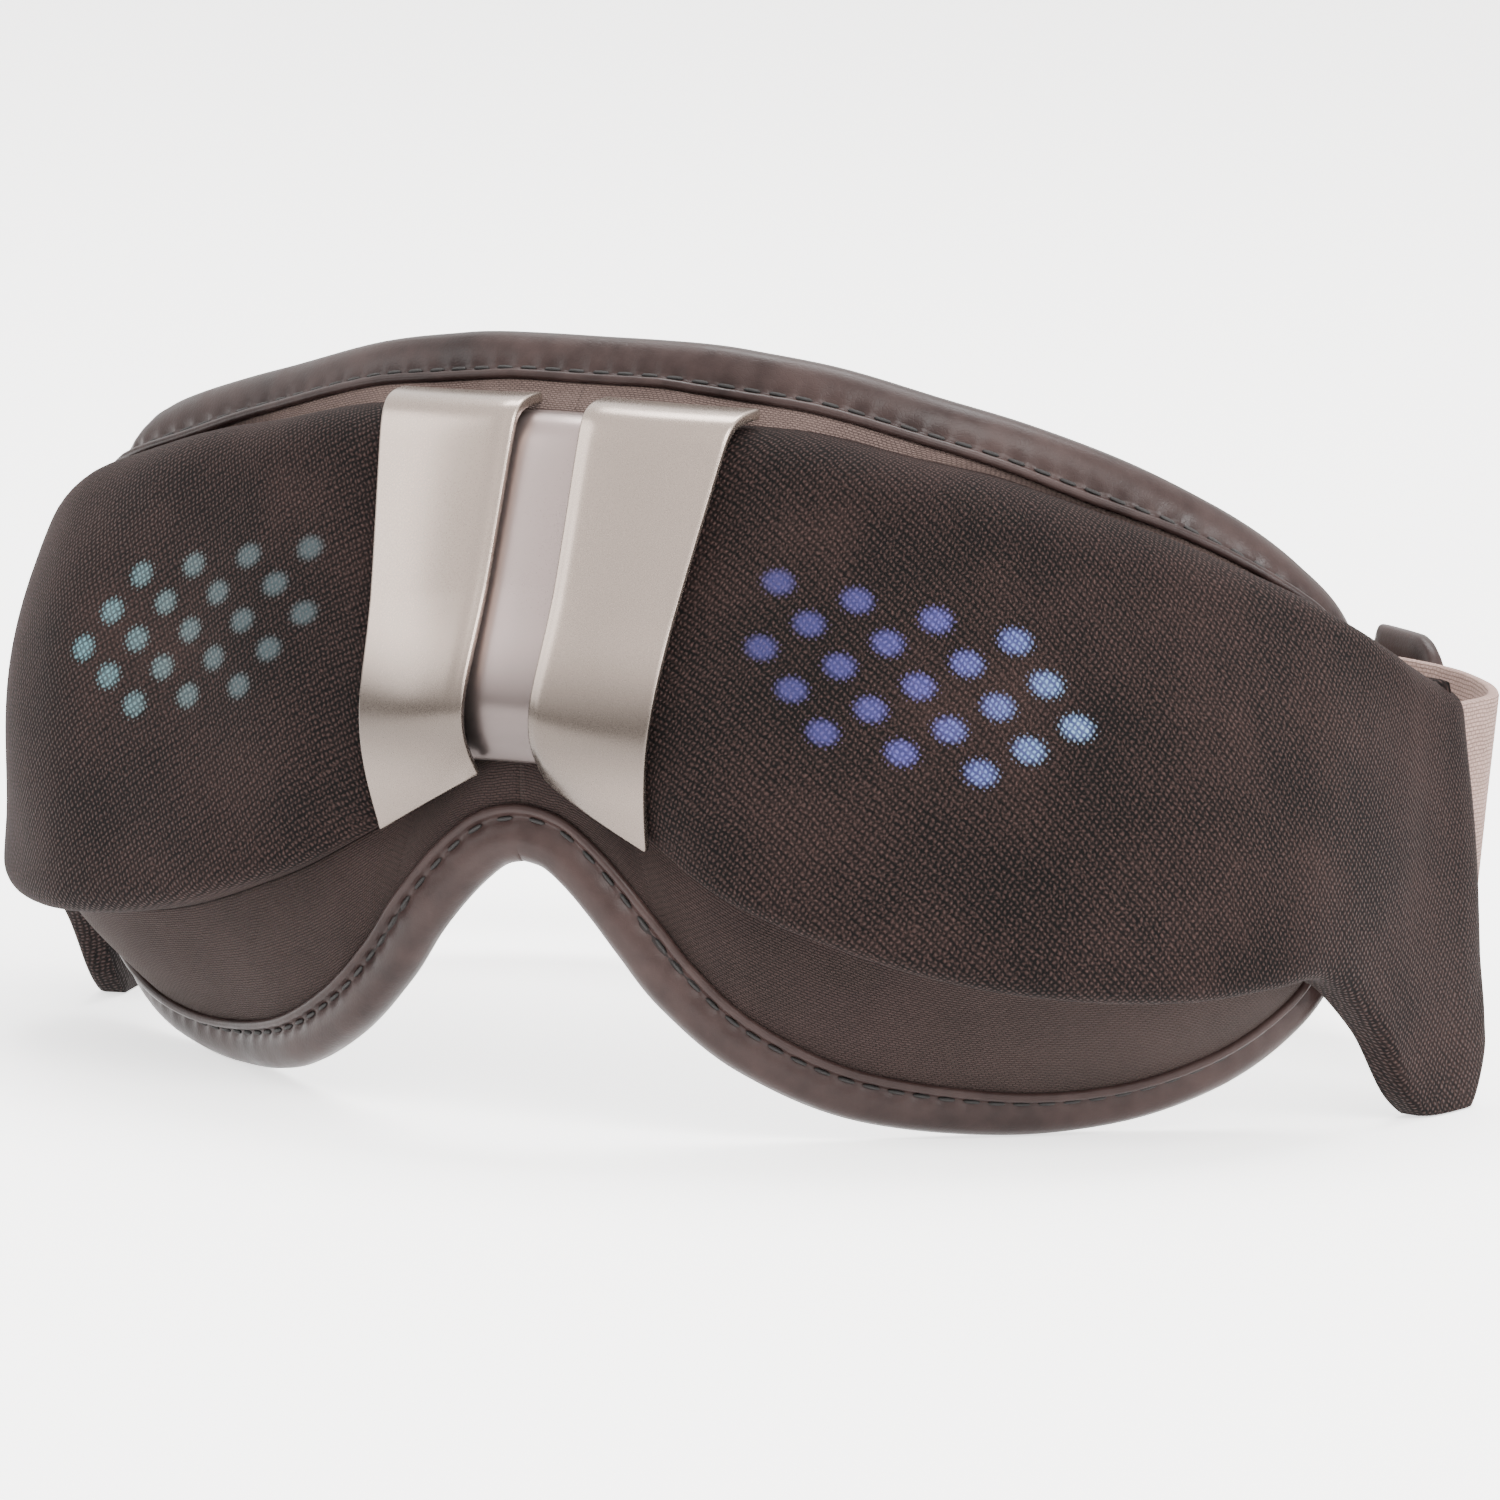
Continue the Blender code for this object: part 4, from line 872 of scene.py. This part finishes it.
def make_skirt(tag, side):
    """Cloth from the pod's lower edge and the nose arch back to the leather rim."""
    line, run, ahead, outward = RIM[:4]
    count_nose, count_pod = 34, 150
    edge, c = lower_edge(count_nose, count_pod)
    bottoms = COLUMNS[:, 3:6]
    rim = rows_at(bottoms, np.minimum(c, 8.0))
    nose_table = np.array(RIM_NOSE[::-1] + (tuple(bottoms[0]), tuple(bottoms[1])))
    nose_dense = rows_at(nose_table, np.linspace(0, 4, 200))
    nose = nearest_by_x(nose_dense, np.linspace(0, 14.0, count_nose, endpoint=False))
    rim = np.concatenate((nose, rim))
    low_half = run > 0.5 * run[-1]
    picks = [np.where(low_half)[0][np.argmin(np.linalg.norm(line[low_half] - p, axis=1))] for p in rim]
    welt = line[picks] + ahead[picks] * 4.2 + outward[picks] * 0.9
    t = np.linspace(0, 1, 40)[None, :, None]
    swell = np.sin(np.pi * t) * 0.7
    push = unit(np.cross(np.gradient(rim, axis=0), edge - welt))
    push = push * np.sign(-push[:, 1:2] - 0.6 * push[:, 2:3])
    points = edge[:, None] * (1 - t) + welt[:, None] * t + push[:, None] * swell
    points[0, :, 0] = 0.0
    skirt = grid_object("skirt_" + tag, points, side, M["skirt"], 0.9)
    cross(skirt, tag, side)
    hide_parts("fabric_skirt_" + tag)
    return skirt


def make_gusset(tag, side):
    """Cloth over the top, from the pod's upper edge back and up to the leather rim."""
    line, run, ahead, outward = RIM[:4]
    u = np.linspace(0, 8.3, 120)
    start = skin(u)[:, 0]
    centre_x = np.linspace(0, 12.3, 26, endpoint=False)
    centre = np.stack((centre_x, np.full(26, 16.6), np.full(26, 85.6)), 1)
    front = np.concatenate((centre, start))
    high_half = np.where(run < 0.45 * run[-1])[0]
    tops = np.concatenate((np.stack((centre_x * 14.5 / 12.3, np.full(26, 24.0), np.full(26, 91.0)), 1),
                           rows_at(COLUMNS[:, 0:3], np.minimum(u, 8.0))))
    picks = [high_half[np.argmin(np.linalg.norm(line[high_half] - p, axis=1))] for p in tops]
    welt = line[picks] + ahead[picks] * 5.2 + outward[picks] * 0.9
    t = np.linspace(0, 1, 20)[None, :, None]
    points = welt[:, None] * (1 - t) + (front + np.array((0, -0.5, -0.3)))[:, None] * t
    points[0, :, 0] = 0.0
    gusset = grid_object("gusset_" + tag, points, side, M["gusset"], 0.9)
    return cross(gusset, tag, side)


def make_plate(tag, side):
    """Champagne plate over the bridge, with rounded long edges."""
    both = np.concatenate((PLATE_INNER, PLATE_OUTER), 1)
    even = even_line(both, 1.1)[0]
    inner, outer = even[:, 0:3], even[:, 3:6]
    s = np.linspace(0, 1, 34)
    crown = 0.7 * np.sin(np.pi * s)
    lip = 0.55 * np.exp(-(s * 19.0 / 1.3) ** 2)
    points = softened(inner[None] * (1 - s)[:, None, None] + outer[None] * s[:, None, None], 12)
    low = int(np.argmax(inner[:, 2] < 66.0))
    points[:, low:] = softened(points[:, low:], 45)
    points[..., 1] -= (crown - lip)[:, None]
    plate = grid_object("champagne_plate_" + tag, points, side, M["champagne"], PLATE)
    bevelled(plate, 0.35, 3)
    ride(plate, tag)
    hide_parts("bridge_plate_" + tag)
    return plate


def make_band():
    """Champagne band a step back between the two plates."""
    line = softened(even_line(np.array(BAND_LINE), 0.8)[0], 8)
    low = int(np.argmax(line[:, 1] < 66.0))
    line[low:] = softened(line[low:], 55)
    x = np.linspace(-BAND_HALF_WIDTH, BAND_HALF_WIDTH, 28)
    fall = 0.5 * (x / BAND_HALF_WIDTH) ** 2
    points = np.zeros((len(x), len(line), 3))
    points[..., 0] = x[:, None]
    points[..., 1] = line[None, :, 0] + fall[:, None]
    points[..., 2] = line[None, :, 1] - 0.5 * fall[:, None]
    band = grid_object("champagne_band", points, 1, M["band"], PLATE)
    bevelled(band, 0.3, 3)
    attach(band, "bridge")
    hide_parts("bridge_band")
    return band


def strap_points(plan, count):
    """Upper and lower edges of a strap layer along its plan."""
    line = even_line(plan, 1.2)[0]
    x, y = line[:, 0], line[:, 1]
    lean = STRAP_LEAN * (x / 90.0) * np.clip((y - 78.0) / 12.0, 0, 1)
    t = np.linspace(0, 1, count)
    points = np.zeros((len(line), count, 3))
    points[..., 0] = x[:, None] - lean[:, None] * t[None]
    points[..., 1] = y[:, None]
    points[..., 2] = STRAP_TOP + (STRAP_BOTTOM - STRAP_TOP) * t[None]
    return points


def make_strap(tag, side):
    """Elastic webbing of one side; the far end of the right one is bound in leather."""
    points = strap_points(STRAP_LEFT if side > 0 else STRAP_RIGHT, 26)
    strap = grid_object("webbing_" + tag, points, side, M["webbing"], STRAP)
    bevelled(strap, 0.4, 2)
    cross(strap, tag, side, *STRAP_BLEND)
    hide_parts("strap_" + tag)
    return strap


def make_tab():
    """Leather-bound end of the right strap, taller than the webbing and rounded at its corners."""
    line, run = even_line(np.array(STRAP_RIGHT, float), 0.5)
    line, run = line[-30:], run[-30:] - run[-1]
    beyond = tangents(line)[-1] * np.arange(0.5, 2.1, 0.5)[:, None]
    line = np.concatenate((line, line[-1] + beyond))
    run = np.concatenate((run, np.arange(0.5, 2.1, 0.5)))
    way = tangents(line)
    side_way = np.stack((way[:, 1], -way[:, 0]), 1)
    corner = np.clip((run + 4.5) / 6.6, 0, 1)
    trim = 6.0 * (1 - np.sqrt(1 - corner ** 2))
    start = np.clip((run + 14.5) / 1.5, 0, 1)
    high = STRAP_TOP + 2.6 - trim
    low = STRAP_BOTTOM - 2.0 + trim
    ring = np.linspace(0, 2 * math.pi, 40, endpoint=False)
    tall, thick = np.sin(ring), np.cos(ring)
    tall = np.sign(tall) * np.abs(tall) ** 0.35
    thick = np.sign(thick) * np.abs(thick) ** 0.6
    half = 1.35 + 0.25 * start
    half[-1] = 0.5
    middle = line - side_way * 0.75 - np.stack((STRAP_LEAN * line[:, 0] / 180.0, 0 * run), 1)
    points = np.zeros((len(line), len(ring), 3))
    points[..., 0:2] = middle[:, None] + side_way[:, None] * (half[:, None] * thick[None])[..., None]
    points[..., 2] = (high + low)[:, None] / 2 + ((high - low) / 2)[:, None] * tall[None]
    lean = STRAP_LEAN * (line[:, 0] / 90.0)
    points[..., 0] += lean[:, None] * 0.5 * tall[None]
    tab = grid_object("strap_tab", points, -1, M["leather"], wrap=True)
    close_ends(tab, len(line), len(ring))
    fix_normals(tab)
    return cross(tab, "right", -1, *STRAP_BLEND)


def make_hooks():
    """Hook tape on the inner face of the right strap's end, with its rows of fine hooks."""
    points = strap_points(STRAP_RIGHT, 12)
    points = points[-17:-1]
    way = unit(np.gradient(points[:, 0, 0:2], axis=0))
    points[..., 0:2] += np.stack((-way[:, 1], way[:, 0]), 1)[:, None] * (STRAP + 0.35)
    share = np.linspace(0.1, 0.9, 12)[None]
    points[..., 2] = STRAP_TOP + (STRAP_BOTTOM - STRAP_TOP) * share
    tape = grid_object("hook_tape", points, -1, M["hooks"], 0.6)
    cross(tape, "right", -1, *STRAP_BLEND)
    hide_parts("hook_patch")


def make_bellows(tag, side):
    """Dark cloth between the band and the pod, which closes the bridge when the mask folds."""
    line = rows_at(BAND_LINE, np.linspace(1.5, len(BAND_LINE) - 1, 40))
    height = line[:, 1]
    body = skin(np.array([0.0]))[0]
    front = body[np.argmax(body[:, 1] < 9.9):]
    order = np.argsort(front[:, 2])
    outer_y = np.interp(height, front[order, 2], front[order, 1])
    outer_x = np.interp(height, front[order, 2], front[order, 0])
    t = np.linspace(0, 1, 14)[:, None]
    points = np.zeros((14, len(line), 3))
    points[..., 0] = 7.0 + (outer_x[None] + 0.8 - 7.0) * t
    points[..., 1] = (line[:, 0] + 2.2)[None] * (1 - t) + (outer_y + 1.7)[None] * t
    points[..., 2] = height[None]
    bellows = grid_object("bellows_" + tag, points, side, M["lining"], 0.5)
    return cross(bellows, tag, side, 7.0, 12.8)


def close_ends(thing, rows, columns):
    """Closes both ends of a tube of rings."""
    shape = bmesh.new()
    shape.from_mesh(thing.data)
    shape.verts.ensure_lookup_table()
    for first in (0, (rows - 1) * columns):
        shape.faces.new([shape.verts[first + k] for k in range(columns)])
    shape.to_mesh(thing.data)
    shape.free()


def make_lining(tag, side):
    """Lining that closes the back of the wing, over the temple pad."""
    u = np.linspace(8.2, 13.2, 70)
    body = skin(u)
    top, bottom = body[:, 0], body[:, -1]
    into = inward(u)
    t = np.linspace(0, 1, 40)[None, :, None]
    swell = np.sin(np.pi * t) ** 0.7 * 1.3
    points = top[:, None] * (1 - t) + bottom[:, None] * t + into[:, None] * swell
    lining = grid_object("wing_lining_" + tag, points, side, M["lining"], 0.8, flip=True)
    ride(lining, tag)
    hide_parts("temple_pad_" + tag)
    return lining


def cushion_point(c, v, ahead=0.0):
    """Face side of the cushion, as in the CAD."""
    row = rows_at(COLUMNS, c)
    eye = np.sin(np.pi * np.minimum(1.0, c / 8.0)) * np.sin(np.pi * v)
    into = unit(np.array((-0.32, 0.9, -0.1)))
    flat = row[..., 0:3] * (1 - v)[..., None] + row[..., 3:6] * v[..., None]
    return flat + into * (1.6 * eye - ahead)[..., None]


def make_pad(tag, side):
    """Padded face cushion, pinned at its border and at an eye-shaped ring, and swollen in between."""
    count_c, count_v = 44, 50
    c = np.linspace(0.05, 7.75, count_c)
    v = np.linspace(0.028, 0.968, count_v)
    cc, vv = np.meshgrid(c, v, indexing="ij")
    face = cushion_point(cc, vv, 0.4)
    back = cushion_point(cc, vv, 3.0)
    vertices = np.concatenate((face.reshape(-1, 3), back.reshape(-1, 3)))
    i, j = np.meshgrid(np.arange(count_c - 1), np.arange(count_v - 1), indexing="ij")
    a = (i * count_v + j).ravel()
    front = np.stack((a, a + count_v, a + count_v + 1, a + 1), 1)
    rear = front[:, ::-1] + count_c * count_v
    border = [k for k in range(count_v)] + [k * count_v + count_v - 1 for k in range(1, count_c)]
    border += [(count_c - 1) * count_v + k for k in range(count_v - 2, -1, -1)]
    border += [k * count_v for k in range(count_c - 2, 0, -1)]
    walls = []
    total = count_c * count_v
    for p, q in zip(border, border[1:] + border[:1]):
        walls.append((p, q, q + total, p + total))
    faces = np.concatenate((front, rear, np.array(walls)))
    uv = np.concatenate((arc_uv(face).reshape(-1, 2), arc_uv(back).reshape(-1, 2)))
    pad = make_object("face_pad_" + tag, place(vertices, side), faces, M["face"], uv)
    fix_normals(pad)
    ring = np.hypot((cc - 3.9) / 2.55, (vv - 0.49) / 0.27)
    seam = np.abs(ring - 1.0) < 0.06
    edge = (cc < c[2]) | (cc > c[-3]) | (vv < v[2]) | (vv > v[-3])
    pinned = (seam | edge).ravel()
    swell(pad, pinned, total)
    smooth = pad.modifiers.new("smooth", "SUBSURF")
    smooth.levels = 1
    smooth.render_levels = 1
    cross(pad, tag, side)
    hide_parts("face_cushion_" + tag)
    return pad


def swell(pad, pinned, total):
    """Inflates the pad between its pinned border and seam with a short cloth simulation."""
    rest = np.zeros(len(pad.data.vertices) * 3)
    pad.data.vertices.foreach_get("co", rest)
    rest = rest.reshape(-1, 3)
    middle = rest.mean(0)
    pad.data.vertices.foreach_set("co", ((rest - middle) * SWELL_SCALE).ravel())
    pad.data.update()
    group = pad.vertex_groups.new(name="pin")
    fixed = np.concatenate((np.where(pinned)[0], np.arange(total, len(rest))))
    group.add([int(k) for k in fixed], 1.0, "REPLACE")
    cloth = pad.modifiers.new("cloth", "CLOTH")
    settings = cloth.settings
    settings.quality = 6
    settings.mass = 0.3
    settings.tension_stiffness = 20
    settings.compression_stiffness = 20
    settings.shear_stiffness = 8
    settings.bending_stiffness = 1.5
    settings.use_pressure = True
    settings.uniform_pressure_force = 14.0
    settings.vertex_group_mass = "pin"
    settings.effector_weights.gravity = 0.0
    settings.time_scale = 1.0
    cloth.point_cache.frame_start = 1
    cloth.point_cache.frame_end = 24
    scene = bpy.context.scene
    for step in range(1, SWELL_STEPS + 1):
        scene.frame_set(step)
    graph = bpy.context.evaluated_depsgraph_get()
    shaped = pad.evaluated_get(graph).to_mesh()
    after = np.zeros(len(shaped.vertices) * 3)
    shaped.vertices.foreach_get("co", after)
    after = after.reshape(-1, 3) / SWELL_SCALE + middle
    pad.modifiers.clear()
    pad.vertex_groups.clear()
    scene.frame_set(1)
    move = after - rest
    length = np.linalg.norm(move, axis=1, keepdims=True)
    move = move * np.minimum(1.0, SWELL_CAP * MM / np.maximum(length, 1e-9))
    pad.data.vertices.foreach_set("co", (rest + move).ravel())
    pad.data.update()


def make_nose_pad(tag, side):
    """Soft lining over the nose, from the rim on top down to the arch."""
    x = np.linspace(0, 15.6, 30)
    section = rows_at(np.array(SADDLE), np.linspace(0, len(SADDLE) - 1, 60))
    points = np.zeros((len(x), len(section), 3))
    w = np.clip(x / 11.5, 0, 1.35)
    stretch = 1 + 0.333 * w ** 1.5
    y, z = section[:, 0][None], section[:, 1][None]
    foot = np.where(z < 60.0, 60.0 - (60.0 - z) * stretch[:, None], z - 0.5 * w[:, None])
    points[..., 0] = x[:, None]
    points[..., 1] = y - 0.4 * w[:, None] ** 2
    points[..., 2] = foot
    pad = grid_object("nose_pad_" + tag, points, side, M["face"], 2.0, flip=True)
    cross(pad, tag, side)
    if side > 0:
        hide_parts("nose_saddle")
    return pad


make_band()
make_tab()
make_hooks()
for tag, side in SIDES:
    make_shell(tag, side)
    make_skirt(tag, side)
    make_gusset(tag, side)
    make_plate(tag, side)
    make_bellows(tag, side)
    make_rim(tag, side)
    make_strap(tag, side)
    make_lining(tag, side)
    make_pad(tag, side)
    make_nose_pad(tag, side)


# ---------------------------------------------------------------- floor, light and camera

def make_floor():
    """Pale floor, which also glows so that it reads as near white."""
    s = Shader("floor")
    cloud = s.noise(s.place(), 2.0, 2.0)
    material = s.finish(Base_Color=s.mix(cloud, (0.90, 0.895, 0.89, 1.0), (0.92, 0.915, 0.91, 1.0)),
                        Roughness=0.6, Specular_IOR_Level=0.2, Emission_Color=(1.0, 0.995, 0.99, 1.0),
                        Emission_Strength=FLOOR_GLOW)
    mesh = bpy.data.meshes.new("floor")
    corners = [(x * FLOOR_REACH, y * FLOOR_REACH, 0) for x, y in ((-1, -1), (1, -1), (1, 1), (-1, 1))]
    mesh.from_pydata(corners, [], [(0, 1, 2, 3)])
    mesh.materials.append(material)
    floor = bpy.data.objects.new("floor", mesh)
    bpy.context.scene.collection.objects.link(floor)
    floor.location.z = -FLOOR_DROP


def area_light(name, position, target, size, power, tint):
    """Soft box aimed at a point."""
    data = bpy.data.lights.new(name, "AREA")
    data.shape = "RECTANGLE"
    data.size, data.size_y = size
    data.energy = power
    data.color = tint
    lamp = bpy.data.objects.new(name, data)
    bpy.context.scene.collection.objects.link(lamp)
    lamp.location = position
    lamp.rotation_euler = (Vector(target) - Vector(position)).to_track_quat("-Z", "Y").to_euler()


def make_camera():
    """Long lens from the front, a little to the wearer's left and above."""
    azimuth, elevation, roll = (math.radians(angle) for angle in CAMERA_ANGLES)
    back = Vector((math.sin(azimuth) * math.cos(elevation), -math.cos(azimuth) * math.cos(elevation),
                   math.sin(elevation)))
    data = bpy.data.cameras.new("camera")
    data.sensor_width = 36.0
    data.lens = CAMERA_LENS
    data.clip_end = 200.0
    camera = bpy.data.objects.new("camera", data)
    bpy.context.scene.collection.objects.link(camera)
    camera.location = Vector(CAMERA_TARGET) + back * CAMERA_DISTANCE
    turn = (-back).to_track_quat("-Z", "Y").to_matrix() @ Matrix.Rotation(roll, 3, "Z")
    camera.rotation_euler = turn.to_euler()
    bpy.context.scene.camera = camera


def make_world():
    """Studio surroundings: bright overhead, dimmer towards the horizon."""
    world = bpy.data.worlds.new("studio")
    bpy.context.scene.world = world
    world.use_nodes = True
    tree = world.node_tree
    back = tree.nodes["Background"]
    spot = tree.nodes.new("ShaderNodeTexCoord")
    parts = tree.nodes.new("ShaderNodeSeparateXYZ")
    ramp = tree.nodes.new("ShaderNodeValToRGB")
    tree.links.new(spot.outputs["Generated"], parts.inputs[0])
    tree.links.new(parts.outputs[2], ramp.inputs[0])
    tree.links.new(ramp.outputs[0], back.inputs[0])
    ramp.color_ramp.elements[0].position = 0.0
    ramp.color_ramp.elements[0].color = (0.10, 0.095, 0.09, 1)
    ramp.color_ramp.elements[1].position = 0.32
    ramp.color_ramp.elements[1].color = (1.0, 0.985, 0.97, 1)
    back.inputs[1].default_value = WORLD_STRENGTH


make_floor()
for light in LIGHTS:
    area_light(*light)
make_camera()
make_world()
